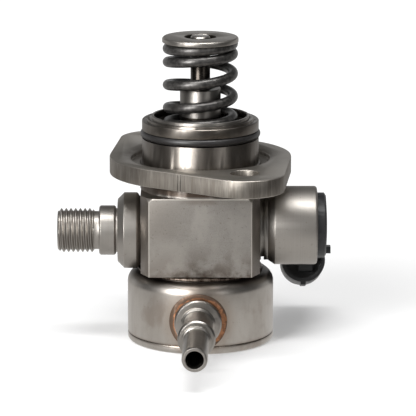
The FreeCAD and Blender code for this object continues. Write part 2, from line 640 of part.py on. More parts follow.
def pump_body():
    s = size
    piece = body("pump_body")
    drawing = sketch(piece, "block_outline", "XY_Plane", s.block_low)
    x, y = s.block_half_x, s.block_half_y
    u, v = x - s.block_cut_x, y - s.block_cut_y
    outline(drawing, [(u, -y), (x, -v), (x, v), (u, y), (-u, y), (-x, v), (-x, -v), (-u, -y)])
    push(piece, "block", drawing, s.block_high - s.block_low)
    far = s.block_half_x + s.block_half_y
    low = s.block_high - s.block_turn_deep
    bore(piece, "turned_chamfer", [(s.block_turn_r, s.block_high), (far, s.block_high), (far, low),
                                   (s.block_turn_r + s.block_turn_w, low)])
    under = -s.flange_thick
    top = s.groove_low + s.groove_wide
    turn(piece, "spigot", [(0, s.spigot_low), (s.spigot_r, s.spigot_low), (s.spigot_r, s.block_low), (0, s.block_low)])
    turn(piece, "neck_and_pilot", [
        (0, s.block_high), (s.neck_r, s.block_high),
        (s.neck_r, under - s.weld_bead), (s.neck_r + s.weld_bead, under), (s.neck_r, under),
        (s.neck_r, -s.dish_deep), (s.pilot_r, -s.dish_deep), (s.pilot_r, s.groove_low),
        (s.groove_r, s.groove_low), (s.groove_r, top), (s.pilot_r, top), (s.pilot_r, s.pilot_high - s.pilot_edge),
        (s.pilot_r - s.pilot_edge, s.pilot_high), (s.pilot_r - s.rim_step, s.pilot_high - s.rim_drop),
        (s.pilot_r - s.rim_step - 0.2, s.rim_high), (s.cup_r, s.rim_high), (0, s.rim_high)])
    floor = s.seat_high - s.seat_thick
    leak_floor = s.barrel_high - s.barrel_head_tall
    bore(piece, "main_bore", [
        (0, s.rim_high + 1), (s.cup_r, s.rim_high + 1), (s.cup_r, floor), (s.leak_r, floor),
        (s.leak_r, floor - s.leak_deep), (s.barrel_head_r, floor - s.leak_deep), (s.barrel_head_r, leak_floor),
        (s.barrel_r, leak_floor), (s.barrel_r, s.barrel_low), (s.chamber_r, s.barrel_low),
        (s.chamber_r, s.chamber_low), (0, s.chamber_low)])
    side_bore(piece, "outlet_bore", s.outlet_high, [
        (-s.block_half_x - 2, as_dim(0)), (-s.block_half_x - 2, s.outlet_spigot_r),
        (-s.outlet_spigot_in, s.outlet_spigot_r), (-s.outlet_spigot_in, s.passage_r),
        (as_dim(0), s.passage_r), (as_dim(0), as_dim(0))])
    side_bore(piece, "inlet_bore", s.solenoid_high, [
        (s.block_half_x + 2, as_dim(0)), (s.block_half_x + 2, s.inlet_bore_r), (s.inlet_bore_in, s.inlet_bore_r),
        (s.inlet_bore_in, s.inlet_port_r), (as_dim(0), s.inlet_port_r), (as_dim(0), as_dim(0))])
    drawing = sketch(piece, "feed_drill_place", "XY_Plane", s.spigot_low)
    hole(drawing, s.feed_drill_x, 0, s.feed_drill_r)
    push(piece, "feed_drill", drawing, s.solenoid_high - s.spigot_low, "PartDesign::Pocket", reverse=True)
    drawing = sketch(piece, "leak_drill_place", "XY_Plane", s.spigot_low)
    hole(drawing, 0, s.leak_drill_y, s.leak_drill_r)
    push(piece, "leak_drill", drawing, floor - s.spigot_low, "PartDesign::Pocket", reverse=True)


def pilot_o_ring():
    s = size
    piece = body("pilot_o_ring")
    drawing = sketch(piece, "o_ring_section")
    hole(drawing, s.groove_r + s.o_ring_wire_r + 0.01, s.groove_low + s.groove_wide / 2, s.o_ring_wire_r)
    feature = piece.newObject("PartDesign::Revolution", "o_ring")
    feature.Profile = drawing
    feature.ReferenceAxis = (drawing, ["V_Axis"])
    feature.Angle = 360
    piece.Tip = feature


# Cylinder, plunger, seal and return spring

def cylinder_barrel():
    s = size
    piece = body("cylinder_barrel")
    inner = s.plunger_r + s.plunger_fit
    head = s.barrel_high - s.barrel_head_tall
    turn(piece, "barrel", [(inner, s.barrel_low), (s.barrel_r, s.barrel_low), (s.barrel_r, head),
                           (s.barrel_head_r, head), (s.barrel_head_r, s.barrel_high), (inner, s.barrel_high)])


def plunger():
    s = size
    piece = body("plunger")
    edge = s.stem_edge
    shoulder = s.plunger_low + s.plunger_long
    groove_top = s.neck_groove_low + s.neck_groove_wide
    turn(piece, "plunger_turned", [
        (0, s.plunger_low), (s.plunger_r - edge, s.plunger_low), (s.plunger_r, s.plunger_low + edge),
        (s.plunger_r, shoulder - edge), (s.plunger_r - edge, shoulder), (s.stem_r, shoulder),
        (s.stem_r, s.neck_groove_low), (s.neck_groove_r, s.neck_groove_low), (s.neck_groove_r, groove_top),
        (s.stem_r, groove_top), (s.stem_r, s.stem_high - edge), (s.stem_r - edge, s.stem_high),
        (0, s.stem_high)])


def seal_holder():
    s = size
    piece = body("seal_holder")
    inner = s.sleeve_r - s.sleeve_wall
    floor = s.seat_high - s.seat_thick
    wall = s.cup_r - s.cup_wall
    turn(piece, "drawn_sheet", [
        (inner, floor), (s.cup_r, floor), (s.cup_r, s.cup_high), (wall, s.cup_high),
        (wall, s.seat_high, s.cup_round), (s.sleeve_r, s.seat_high, s.cup_round), (s.sleeve_r, s.sleeve_high),
        (s.sleeve_lip_r, s.sleeve_high), (s.sleeve_lip_r, s.sleeve_high - s.sleeve_wall),
        (inner, s.sleeve_high - s.sleeve_wall)])


def plunger_seal():
    s = size
    piece = body("plunger_seal")
    inner = s.stem_r + s.seal_fit
    outer = s.sleeve_r - s.sleeve_wall
    high = s.sleeve_high - s.sleeve_wall
    low = high - s.seal_tall
    lip = (outer - inner) / 3
    turn(piece, "lip_seal", [
        (inner, low), (inner + lip, low), (inner + lip * 1.6, low + lip * 2), (outer - lip, low + lip * 2),
        (outer - lip, low), (outer, low), (outer, high), (inner + lip, high), (inner + lip, low + lip * 4),
        (inner, low + lip)])


def spring_retainer():
    s = size
    piece = body("spring_retainer")
    top = s.retainer_low + s.retainer_thick
    hub = s.retainer_low - s.retainer_hub_tall
    edge = s.retainer_edge
    floor = top - s.retainer_hole_deep
    turn(piece, "disc", [
        (s.neck_groove_r, hub), (s.retainer_hub_r - edge, hub), (s.retainer_hub_r, hub + edge),
        (s.retainer_hub_r, s.retainer_low), (s.retainer_r, s.retainer_low), (s.retainer_r, top - edge),
        (s.retainer_r - edge, top), (s.retainer_hole_r, top), (s.retainer_hole_r, floor),
        (s.stem_r, floor), (s.stem_r, s.neck_groove_low + s.neck_groove_wide),
        (s.neck_groove_r, s.neck_groove_low + s.neck_groove_wide)])


def return_spring():
    s = size
    coil("return_spring", s.spring_mean_r, s.spring_wire_r, s.seat_high, s.retainer_low, s.spring_turns,
         closed=(1.05, 1.4), sides=16)


# Damper housing, lid and capsule

def damper_housing():
    s = size
    piece = body("damper_housing")
    top = s.block_low - s.housing_gap
    inner = s.housing_r - s.housing_wall
    turn(piece, "drawn_shell", [
        (s.housing_r - s.seam_edge, s.seam_high), (s.housing_r, s.seam_high + s.seam_edge),
        (s.housing_r, top, s.shoulder_round), (s.spigot_r + s.seat_bead_wide, top),
        (s.spigot_r + s.seat_bead_wide / 2, top + s.seat_bead_tall), (s.spigot_r, top + s.seat_bead_tall),
        (s.spigot_r, top - s.housing_wall),
        (inner, top - s.housing_wall, s.shoulder_round - s.housing_wall), (inner, s.seam_high)])
    drawing = sketch(piece, "inlet_hole_place", "XZ_Plane")
    hole(drawing, s.nipple_aside + s.housing_r * sine(s.nipple_yaw), s.nipple_high, s.nipple_spigot_r + 0.15)
    push(piece, "inlet_hole", drawing, s.housing_r + 2, "PartDesign::Pocket", reverse=True)


def damper_lid():
    s = size
    piece = body("damper_lid")
    inner = s.housing_r - s.housing_wall
    turn(piece, "pressed_lid", [
        (0, s.base_low), (s.housing_r, s.base_low, s.lid_round), (s.housing_r, s.seam_high - s.seam_edge),
        (s.housing_r - s.seam_edge, s.seam_high), (inner, s.seam_high), (inner, s.seam_high + s.lid_lip),
        (inner - s.lid_thick, s.seam_high + s.lid_lip), (inner - s.lid_thick, s.base_low + s.lid_thick),
        (0, s.base_low + s.lid_thick)])


def damper_diaphragm(name, side):
    """One formed sheet of the gas capsule; side is 1 for the upper and -1 for the lower."""
    s = size
    piece = body(name)
    sheet_t, rise, rim = s.capsule_sheet, s.capsule_bulge, s.capsule_r
    base = s.capsule_mid
    up = [(rim, 0), (rim, 1), (rim - 2, 1), (rim - 4, "top"), (rim * 0.45, "top"), (rim * 0.35, "dip"), (0, "dip")]

    def height(mark):
        levels = {0: as_dim(0), 1: sheet_t, "top": rise, "dip": rise * 0.7}
        return base + side * levels[mark]

    inner = [(0, rise * 0.7 - sheet_t), (rim * 0.35, rise * 0.7 - sheet_t), (rim * 0.45, rise - sheet_t),
             (rim - 4, rise - sheet_t), (rim - 2, as_dim(0))]
    corners = [(r, height(mark)) for r, mark in up] + [(r, base + side * level) for r, level in inner]
    if side < 0:
        corners = corners[::-1]
    turn(piece, "formed_sheet", corners)


def damper_support(name, low, high, rim_low):
    """A stamped ring with windows that clamps the capsule's rim."""
    s = size
    piece = body(name)
    wall = s.support_wall
    inner = s.support_r - wall
    lip = s.support_r - 3 * wall
    rim = (low, low + wall) if rim_low else (high - wall, high)
    if rim_low:
        corners = [(lip, rim[0]), (s.support_r, low), (s.support_r, high), (inner, high), (inner, rim[1]),
                   (lip, rim[1])]
    else:
        corners = [(inner, low), (s.support_r, low), (s.support_r, high), (lip, high), (lip, rim[0]),
                   (inner, rim[0])]
    turn(piece, "ring", corners)
    middle = (low + high) / 2
    tall = (high - low) / 4
    drawing = sketch(piece, "window_outline", "XZ_Plane")
    half = s.support_window / 2
    outline(drawing, [(-half, middle - tall), (half, middle - tall), (half, middle + tall), (-half, middle + tall)])
    window = push(piece, "window", drawing, s.support_r + 1, "PartDesign::Pocket")
    repeat(piece, "windows", window, 6)


# Inlet nipple

def nipple_frame(name):
    s = size
    turned = FreeCAD.Rotation(Vector(0, 0, 1), s.nipple_yaw.value) * TO_INLET
    return body(name, s.nipple_aside, 0, s.nipple_high, turned)


def saddle(piece, name, radius, limit=None):
    """Trims the piece to a round wall of the housing: inside it, or between it and a limit."""
    s = size
    drawing = sketch(piece, name + "_outline", "XZ_Plane")
    centre = (-s.nipple_aside * cosine(s.nipple_yaw), -s.nipple_aside * sine(s.nipple_yaw))
    hole(drawing, *centre, radius)
    if limit is not None:
        hole(drawing, *centre, limit)
    push(piece, name, drawing, s.nipple_base_r * 3, "PartDesign::Pocket", both=True)


def inlet_nipple():
    s = size
    piece = nipple_frame("inlet_nipple")
    inside = s.housing_r - s.housing_wall
    back = s.housing_r - s.nipple_base_r * s.nipple_base_r / s.housing_r
    root_end = s.nipple_base_front + s.nipple_root_long
    bead_back, bead_front = s.nipple_bead_at - s.nipple_bead_half, s.nipple_bead_at + s.nipple_bead_half
    bead_edge = s.nipple_bead_half / 2
    step_end = bead_front + s.nipple_step_long
    base_edge = as_dim(0.5)
    turn(piece, "base_disc", [
        (s.nipple_bore_r, back), (s.nipple_base_r, back), (s.nipple_base_r, s.nipple_base_front - base_edge),
        (s.nipple_base_r - base_edge, s.nipple_base_front), (s.nipple_bore_r, s.nipple_base_front)])
    saddle(piece, "seat", s.housing_r)
    turn(piece, "tube", [
        (s.nipple_bore_r, inside), (s.nipple_spigot_r, inside), (s.nipple_spigot_r, s.nipple_base_front - 0.4),
        (s.nipple_root_r, s.nipple_base_front - 0.4), (s.nipple_root_r, root_end - 0.5),
        (s.nipple_neck_r, root_end), (s.nipple_neck_r, bead_back), (s.nipple_bead_r - bead_edge, bead_back),
        (s.nipple_bead_r, bead_back + bead_edge), (s.nipple_bead_r, bead_front - bead_edge),
        (s.nipple_bead_r - bead_edge, bead_front), (s.nipple_step_r, bead_front), (s.nipple_step_r, step_end - 0.4),
        (s.nipple_tube_r, step_end), (s.nipple_tube_r, s.nipple_tip - s.nipple_tip_long),
        (s.nipple_tip_r, s.nipple_tip), (s.nipple_bore_r, s.nipple_tip)])


def inlet_braze_ring():
    s = size
    piece = nipple_frame("inlet_braze_ring")
    back = s.housing_r - s.braze_r * s.braze_r / s.housing_r
    crest = s.housing_r + s.braze_thick
    turn(piece, "fillet", [(s.nipple_base_r, back), (s.braze_r, back), (s.braze_r, crest), (s.nipple_base_r, crest)])
    saddle(piece, "inner_face", s.housing_r)
    saddle(piece, "outer_face", crest, crest * 2)


def inlet_filter():
    """A fine strainer thimble in the nipple's inner end."""
    s = size
    piece = nipple_frame("inlet_filter")
    start = s.housing_r - s.housing_wall + 0.5
    wall = s.filter_wall
    end = start + s.filter_long
    turn(piece, "thimble", [
        (s.nipple_bore_r - wall, start), (s.nipple_bore_r, start), (s.nipple_bore_r, start + wall * 2),
        (s.nipple_bore_r - wall, start + wall * 3), (s.nipple_bore_r - wall * 2, end), (0, end),
        (0, end - wall), (s.nipple_bore_r - wall * 3, end - wall)])


# Outlet fitting and its valve

def outlet_frame(name):
    return body(name, 0, 0, size.outlet_high, TO_OUTLET)


def outlet_fitting():
    s = size
    piece = outlet_frame("outlet_fitting")
    cone_r = s.outlet_collar_r - s.outlet_collar_cone
    edge = as_dim(0.45)
    turn(piece, "fitting", [
        (s.valve_space_r, s.outlet_spigot_in), (s.outlet_spigot_r, s.outlet_spigot_in),
        (s.outlet_spigot_r, s.block_half_x), (s.outlet_bead_r, s.block_half_x),
        (s.outlet_collar_r - s.outlet_collar_edge, s.outlet_collar_back),
        (s.outlet_collar_r, s.outlet_collar_back + s.outlet_collar_edge),
        (s.outlet_collar_r, s.outlet_collar_front - s.outlet_collar_cone), (cone_r, s.outlet_collar_front),
        (s.outlet_neck_r, s.outlet_collar_front), (s.outlet_neck_r, s.outlet_land_back),
        (s.outlet_land_r - edge, s.outlet_land_back), (s.outlet_land_r, s.outlet_land_back + edge),
        (s.outlet_land_r, s.outlet_land_front - edge), (s.outlet_land_r - edge, s.outlet_land_front),
        (s.outlet_relief_r, s.outlet_land_front), (s.outlet_relief_r, s.thread_back - 0.6),
        (s.thread_r, s.thread_back), (s.thread_r, s.outlet_tip - s.thread_edge),
        (s.thread_r - s.thread_edge, s.outlet_tip), (s.cone_r, s.outlet_tip),
        (s.outlet_bore_r, s.outlet_tip - s.cone_deep), (s.outlet_bore_r, s.valve_space_end),
        (s.valve_space_r, s.valve_space_end - (s.valve_space_r - s.outlet_bore_r) * 0.6)])


def outlet_valve_seat():
    s = size
    piece = outlet_frame("outlet_valve_seat")
    front = s.outlet_spigot_in + s.outlet_seat_thick
    turn(piece, "seat_ring", [
        (s.passage_r, s.outlet_spigot_in), (s.valve_space_r, s.outlet_spigot_in), (s.valve_space_r, front),
        (s.passage_r + 0.9, front), (s.passage_r, front - 0.9)])


def ball_centre():
    """Height of the ball's centre when it rests in the seat's 45 degree cone."""
    s = size
    cone_tip = s.outlet_spigot_in + s.outlet_seat_thick - 0.9 - s.passage_r
    return cone_tip + s.outlet_ball_r * math.sqrt(2) + 0.03


def outlet_valve_ball():
    s = size
    piece = doc.addObject("Part::Sphere", "outlet_valve_ball")
    piece.Label = "outlet_valve_ball"
    bind(piece, "Radius", s.outlet_ball_r)
    place(piece, -ball_centre(), 0, s.outlet_high)
    made.append(piece)


def outlet_valve_spring():
    s = size
    low = ball_centre() + s.outlet_ball_r + s.outlet_lift + 0.1
    coil("outlet_valve_spring", s.valve_space_r * 0.45, as_dim(0.35), low, s.stop_at, 5.0, turned=(0, 0, s.outlet_high, TO_OUTLET))


def outlet_valve_stop():
    s = size
    piece = outlet_frame("outlet_valve_stop")
    front = s.stop_at + s.stop_thick
    drawing = sketch(piece, "stop_outline", "XY_Plane", s.stop_at)
    hole(drawing, 0, 0, s.valve_space_r)
    for x, y in ((1, 0), (0, 1), (-1, 0), (0, -1)):
        reach = s.valve_space_r * 0.62
        hole(drawing, x * reach if x else 0, y * reach if y else 0, s.valve_space_r * 0.2)
    push(piece, "stop", drawing, front - s.stop_at)


# Solenoid, inlet valve and connector

def solenoid_frame(name):
    return body(name, 0, 0, size.solenoid_high, TO_SOLENOID)


def valve_housing():
    s = size
    piece = solenoid_frame("valve_housing")
    seat = s.inlet_bore_in
    ring_low = s.block_half_x + s.neck_ring_gap * 0.4
    ring_high = ring_low + s.neck_ring_gap
    rod_r = s.rod_r + s.rod_fit
    pocket_end = seat + 4.0
    turn(piece, "housing", [
        (s.valve_seat_r, seat), (s.inlet_bore_r, seat), (s.inlet_bore_r, s.block_half_x),
        (s.neck_ring_r, s.block_half_x), (s.neck_ring_r, ring_low), (s.neck_ring_r - s.neck_ring_deep, ring_low),
        (s.neck_ring_r - s.neck_ring_deep, ring_high), (s.neck_ring_r, ring_high), (s.neck_ring_r, s.cone_start),
        (s.guide_r, s.cone_start), (s.guide_r, s.base_end), (rod_r, s.base_end), (rod_r, pocket_end),
        (s.valve_seat_r, pocket_end)])
    drawing = sketch(piece, "side_port_place", "XZ_Plane")
    hole(drawing, 0, seat + 2.4, 1.2)
    port = push(piece, "side_port", drawing, s.inlet_bore_r + 1, "PartDesign::Pocket")
    repeat(piece, "side_ports", port, 6)


def inlet_valve_disc():
    s = size
    piece = solenoid_frame("inlet_valve_disc")
    face = s.inlet_bore_in - s.valve_lift - 0.03
    turn(piece, "disc", [
        (0, face - s.valve_disc_thick), (s.valve_disc_r, face - s.valve_disc_thick), (s.valve_disc_r, face),
        (0, face)])


def inlet_valve_spring():
    s = size
    high = s.inlet_bore_in - s.valve_lift - 0.03 - s.valve_disc_thick
    coil("inlet_valve_spring", s.valve_disc_r * 0.5, as_dim(0.2), high - s.cage_spring_long, high - 0.05, 2.5,
         closed=(0.7, 0.7), turned=(0, 0, s.solenoid_high, TO_SOLENOID))


def inlet_valve_stop():
    """Cage in the chamber port that carries the inlet valve's spring."""
    s = size
    piece = solenoid_frame("inlet_valve_stop")
    high = s.inlet_bore_in - s.valve_lift - 0.03 - s.valve_disc_thick - s.cage_spring_long
    low = high - s.cage_thick
    turn(piece, "cage", [
        (as_dim(1.2), low), (s.inlet_port_r, low), (s.inlet_port_r, s.inlet_bore_in - 0.3),
        (s.inlet_port_r - 0.8, s.inlet_bore_in - 0.3), (s.inlet_port_r - 0.8, high), (as_dim(1.2), high)])
    drawing = sketch(piece, "flow_hole_place", "XY_Plane", low)
    hole(drawing, s.inlet_port_r * 0.62, 0, 0.9)
    flow = push(piece, "flow_hole", drawing, s.cage_thick, "PartDesign::Pocket", reverse=True)
    repeat(piece, "flow_holes", flow, 5)


def armature():
    s = size
    piece = solenoid_frame("armature")
    back, front = s.armature_back, s.armature_back + s.armature_long
    tip = s.inlet_bore_in - s.valve_lift
    turn(piece, "armature_and_rod", [
        (0, tip), (s.rod_r, tip), (s.rod_r, back), (s.armature_r - 0.4, back), (s.armature_r, back + 0.4),
        (s.armature_r, front - 0.3), (s.armature_r - 0.3, front), (s.spring_hole_r, front),
        (s.spring_hole_r, front - 2), (0, front - 2)])


def guide_tube():
    s = size
    piece = solenoid_frame("guide_tube")
    inner = s.armature_r + s.armature_fit
    turn(piece, "tube", [
        (inner, s.base_end), (s.guide_r, s.base_end), (s.guide_r, s.core_end - 1), (inner, s.core_end - 1)])


def magnet_core():
    s = size
    piece = solenoid_frame("magnet_core")
    outer = s.armature_r + s.armature_fit
    back = s.armature_back + s.armature_long + s.valve_lift + s.core_gap
    turn(piece, "core", [
        (s.spring_hole_r, back), (outer, back), (outer, s.core_end - 1), (s.guide_r + 1.4, s.core_end - 1),
        (s.guide_r + 1.4, s.core_end), (0, s.core_end), (0, back + 3), (s.spring_hole_r, back + 3)])


def armature_spring():
    s = size
    low = s.armature_back + s.armature_long - 2
    high = s.armature_back + s.armature_long + s.valve_lift + s.core_gap + 3
    coil("armature_spring", s.spring_hole_r - 0.6, as_dim(0.3), low + s.valve_lift + 0.1, high, 4.5,
         turned=(0, 0, s.solenoid_high, TO_SOLENOID))


def coil_bobbin():
    s = size
    piece = solenoid_frame("coil_bobbin")
    outer = s.bobbin_r
    drum = s.guide_r + s.bobbin_wall
    low, high = s.bobbin_back, s.bobbin_front
    turn(piece, "spool", [
        (s.guide_r, low), (outer, low), (outer, low + s.bobbin_flange), (drum, low + s.bobbin_flange),
        (drum, high - s.bobbin_flange), (outer, high - s.bobbin_flange), (outer, high), (s.guide_r, high)])


def coil_winding():
    s = size
    piece = solenoid_frame("coil_winding")
    drum = s.guide_r + s.bobbin_wall
    low, high = s.bobbin_back + s.bobbin_flange, s.bobbin_front - s.bobbin_flange
    turn(piece, "winding", [(drum, low), (s.winding_r, low), (s.winding_r, high), (drum, high)])


def solenoid_can():
    s = size
    piece = solenoid_frame("solenoid_can")
    inner = s.can_r - s.can_wall
    end = s.can_front - s.can_wall
    turn(piece, "can", [
        (s.guide_r, s.cone_start), (s.neck_ring_r, s.cone_start), (s.can_r, s.can_back),
        (s.can_r, s.can_front, s.can_round), (s.can_mouth_r, s.can_front), (s.can_mouth_r, end),
        (inner, end), (inner, s.bobbin_back), (s.guide_r, s.bobbin_back)])


def connector_housing():
    """One moulding: end disc in the can's mouth, bridge, connector barrel, rib, latch and tab."""
    s = size
    piece = solenoid_frame("connector_housing")
    turn(piece, "end_disc", [
        (0, s.core_end), (s.can_mouth_r, s.core_end), (s.can_mouth_r, s.can_front), (s.cap_r, s.can_front),
        (s.cap_r, s.cap_front - s.cap_round), (s.cap_r - s.cap_round, s.cap_front - s.cap_round / 3),
        (s.cap_r * 0.5, s.cap_front), (0, s.cap_front)])
    # in this frame +X points down, +Y points back and +Z points away from the block
    low = sketch(piece, "tab_outline", "XY_Plane", s.cap_front - s.cap_round)
    outline(low, [(s.tab_below - s.tab_tall / 2, -s.tab_wide / 2), (s.tab_below + s.tab_tall / 2, -s.tab_wide / 2),
                  (s.tab_below + s.tab_tall / 2, s.tab_wide / 2), (s.tab_below - s.tab_tall / 2, s.tab_wide / 2)])
    push(piece, "tab", low, s.tab_out + s.cap_round)
    bridge = sketch(piece, "bridge_outline", "XY_Plane", s.can_front)
    back = s.socket_y + s.bridge_wide
    outline(bridge, [(as_dim(0), as_dim(2)), (s.cap_r * 0.8, as_dim(1)), (s.socket_drop, s.socket_y),
                     (s.socket_drop + 3, back), (s.socket_drop - 5, back), (as_dim(0), s.cap_r * 0.9)])
    push(piece, "bridge", bridge, s.cap_front - s.cap_round - s.can_front)
    made.remove(piece)
    barrel = doc.addObject("Part::Cylinder", "connector_barrel")
    hollow = doc.addObject("Part::Cylinder", "connector_hollow")
    rib = doc.addObject("Part::Box", "connector_rib")
    socket = doc.addObject("Part::Cylinder", "connector_socket")
    latch = doc.addObject("Part::Box", "connector_latch")
    lean = FreeCAD.Rotation(Vector(1, 0, 0), -90 - s.socket_tilt.value)
    x, y, z = s.socket_x, s.socket_y, s.solenoid_high - s.socket_drop
    along_y, along_z = cosine(s.socket_tilt), -sine(s.socket_tilt)
    inner = s.socket_r - s.socket_wall
    place(barrel, x, y, z, lean)
    bind(barrel, "Radius", s.socket_r)
    bind(barrel, "Height", s.socket_long)
    place(hollow, x, y - along_y, z - along_z, lean)
    bind(hollow, "Radius", inner)
    bind(hollow, "Height", s.core_out + 1)
    start = s.socket_long - s.socket_deep
    place(socket, x, y + along_y * start, z + along_z * start, lean)
    bind(socket, "Radius", inner)
    bind(socket, "Height", s.socket_deep + 1)
    above = inner - 0.2
    place(rib, x + s.rib_aside - s.rib_wide / 2, y + along_y * 0.6 - along_z * above,
          z + along_z * 0.6 + along_y * above, lean)
    bind(rib, "Length", s.rib_wide)
    bind(rib, "Width", above + s.rib_below)
    bind(rib, "Height", s.core_out)
    reach = s.socket_r + s.latch_tall
    far = as_dim(0.5)
    place(latch, x - s.latch_wide / 2, y + along_y * far + along_z * (s.socket_r - 1),
          z + along_z * far - along_y * (s.socket_r - 1), lean)
    bind(latch, "Length", s.latch_wide)
    bind(latch, "Width", reach - s.socket_r + 1)
    bind(latch, "Height", s.socket_long * 0.45)
    hollowed = doc.addObject("Part::Cut", "connector_open_end")
    hollowed.Base, hollowed.Tool = barrel, hollow
    ribbed = doc.addObject("Part::MultiFuse", "connector_solid")
    ribbed.Shapes = [hollowed, rib, latch, piece]
    done = doc.addObject("Part::Cut", "connector_housing_done")
    done.Base, done.Tool = ribbed, socket
    done.Label = "connector_housing_moulding"
    piece.Label = "connector_end"
    done.Label = "connector_housing"
    made.append(done)


def terminals():
    """Two blades moulded into the socket's floor."""
    s = size
    lean = FreeCAD.Rotation(Vector(1, 0, 0), -90 - s.socket_tilt.value)
    along_y, along_z = cosine(s.socket_tilt), -sine(s.socket_tilt)
    floor = s.socket_long - s.socket_deep
    root_in = 2.0
    for name, side in (("terminal_left", -1), ("terminal_right", 1)):
        blade = doc.addObject("Part::Box", name)
        blade.Label = name
        x = s.socket_x + side * s.blade_pitch / 2 - s.blade_thick / 2
        drop = -s.blade_wide / 2
        y = s.socket_y + along_y * floor + along_z * drop
        z = s.solenoid_high - s.socket_drop + along_z * floor - along_y * drop
        place(blade, x, y, z, lean)
        bind(blade, "Length", s.blade_thick)
        bind(blade, "Width", s.blade_wide)
        bind(blade, "Height", s.blade_out)
        made.append(blade)


mounting_flange()
pump_body()
pilot_o_ring()
cylinder_barrel()
plunger()
seal_holder()
plunger_seal()
spring_retainer()
return_spring()
damper_housing()
damper_lid()
damper_diaphragm("damper_diaphragm_upper", 1)
damper_diaphragm("damper_diaphragm_lower", -1)
damper_support("damper_support_upper", size.capsule_mid + size.capsule_sheet, size.spigot_low, False)
damper_support("damper_support_lower", size.base_low + size.lid_thick, size.capsule_mid - size.capsule_sheet, True)
inlet_nipple()
inlet_braze_ring()
inlet_filter()
outlet_fitting()
outlet_valve_seat()
outlet_valve_ball()
outlet_valve_spring()
outlet_valve_stop()
valve_housing()
inlet_valve_disc()
inlet_valve_spring()
inlet_valve_stop()
armature()
guide_tube()
magnet_core()
armature_spring()
coil_bobbin()
coil_winding()
solenoid_can()
connector_housing()
terminals()
doc.recompute()

failed = [thing.Label for thing in doc.Objects if "Invalid" in thing.State or "Error" in thing.State]
for piece in made:
    shape = piece.Shape
    if shape.isNull() or not shape.isValid() or not shape.Solids:
        failed.append(piece.Label)
if failed:
    raise RuntimeError("these did not build: " + ", ".join(failed))

os.makedirs("parts", exist_ok=True)
for piece in made:
    piece.Shape.exportStep(f"parts/{piece.Label}.step")
    print(f"{piece.Label:26s} solids {len(piece.Shape.Solids)} volume {piece.Shape.Volume:10.2f}")
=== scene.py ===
"""Looks of a high pressure fuel pump, built around its CAD solids."""

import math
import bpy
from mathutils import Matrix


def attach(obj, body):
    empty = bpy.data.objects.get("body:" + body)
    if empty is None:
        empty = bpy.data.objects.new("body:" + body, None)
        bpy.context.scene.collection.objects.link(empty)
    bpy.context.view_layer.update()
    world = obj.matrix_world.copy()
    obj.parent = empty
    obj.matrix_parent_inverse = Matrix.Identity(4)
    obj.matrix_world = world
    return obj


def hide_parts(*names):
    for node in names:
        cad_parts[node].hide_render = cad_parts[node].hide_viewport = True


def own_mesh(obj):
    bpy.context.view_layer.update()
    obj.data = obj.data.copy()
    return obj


bl_info = {
    "name": "High Pressure Fuel Pump",
    "version": (1, 0, 0),
    "blender": (4, 5, 0),
    "location": "View3D > Sidebar > Fuel Pump",
    "description": "Dresses the solids of a high pressure fuel pump and sets its studio",
    "category": "Object",
}

import bmesh
import bpy
from bpy.props import FloatProperty, FloatVectorProperty, IntProperty, PointerProperty
from mathutils import Matrix, Vector

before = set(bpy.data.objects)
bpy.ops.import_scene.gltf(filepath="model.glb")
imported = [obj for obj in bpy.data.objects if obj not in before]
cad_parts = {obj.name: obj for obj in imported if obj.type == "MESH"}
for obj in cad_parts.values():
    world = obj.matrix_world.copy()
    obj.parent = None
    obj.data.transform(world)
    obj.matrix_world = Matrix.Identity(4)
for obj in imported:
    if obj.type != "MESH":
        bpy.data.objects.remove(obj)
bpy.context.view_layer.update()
MM = 0.001

# Heights and axes of the main pieces, in mm in the pump's frame
BLOCK_HIGH = -10.4
BLOCK_LOW = -35.6
OUTLET_HIGH = -24.55
NIPPLE_HIGH = -48.95
NIPPLE_ASIDE = -0.23
BASE_LOW = -59.5


# Sizes and colours that a user would change

class PumpSizes(bpy.types.PropertyGroup):
    """Sizes of the visible details."""
    edge: FloatProperty(
        name="Edge", description="Width of a broken metal edge", default=0.00014, unit="LENGTH")
    wire: FloatProperty(
        name="Spring Wire", description="Half the wire of the return spring", default=0.0016, unit="LENGTH")
    coil: FloatProperty(
        name="Spring Radius", description="Mean radius of the return spring", default=0.0103, unit="LENGTH")
    coil_low: FloatProperty(
        name="Spring Seat", description="Height of the spring's seat", default=0.0092, unit="LENGTH")
    coil_high: FloatProperty(
        name="Spring Top", description="Height of the spring's upper end", default=0.0363, unit="LENGTH")
    coil_turns: FloatProperty(
        name="Spring Turns", description="Turns of the return spring", default=5.25)
    plunger_travel: FloatProperty(
        name="Plunger Travel", description="Travel of the plunger", default=0.0045, unit="LENGTH")
    thread_pitch: FloatProperty(
        name="Thread Pitch", description="Pitch of the outlet thread", default=0.0015, unit="LENGTH")
    thread_depth: FloatProperty(
        name="Thread Depth", description="Depth of the outlet thread", default=0.00085, unit="LENGTH")
    around: IntProperty(
        name="Facets", description="Facets round a turned detail", default=128)


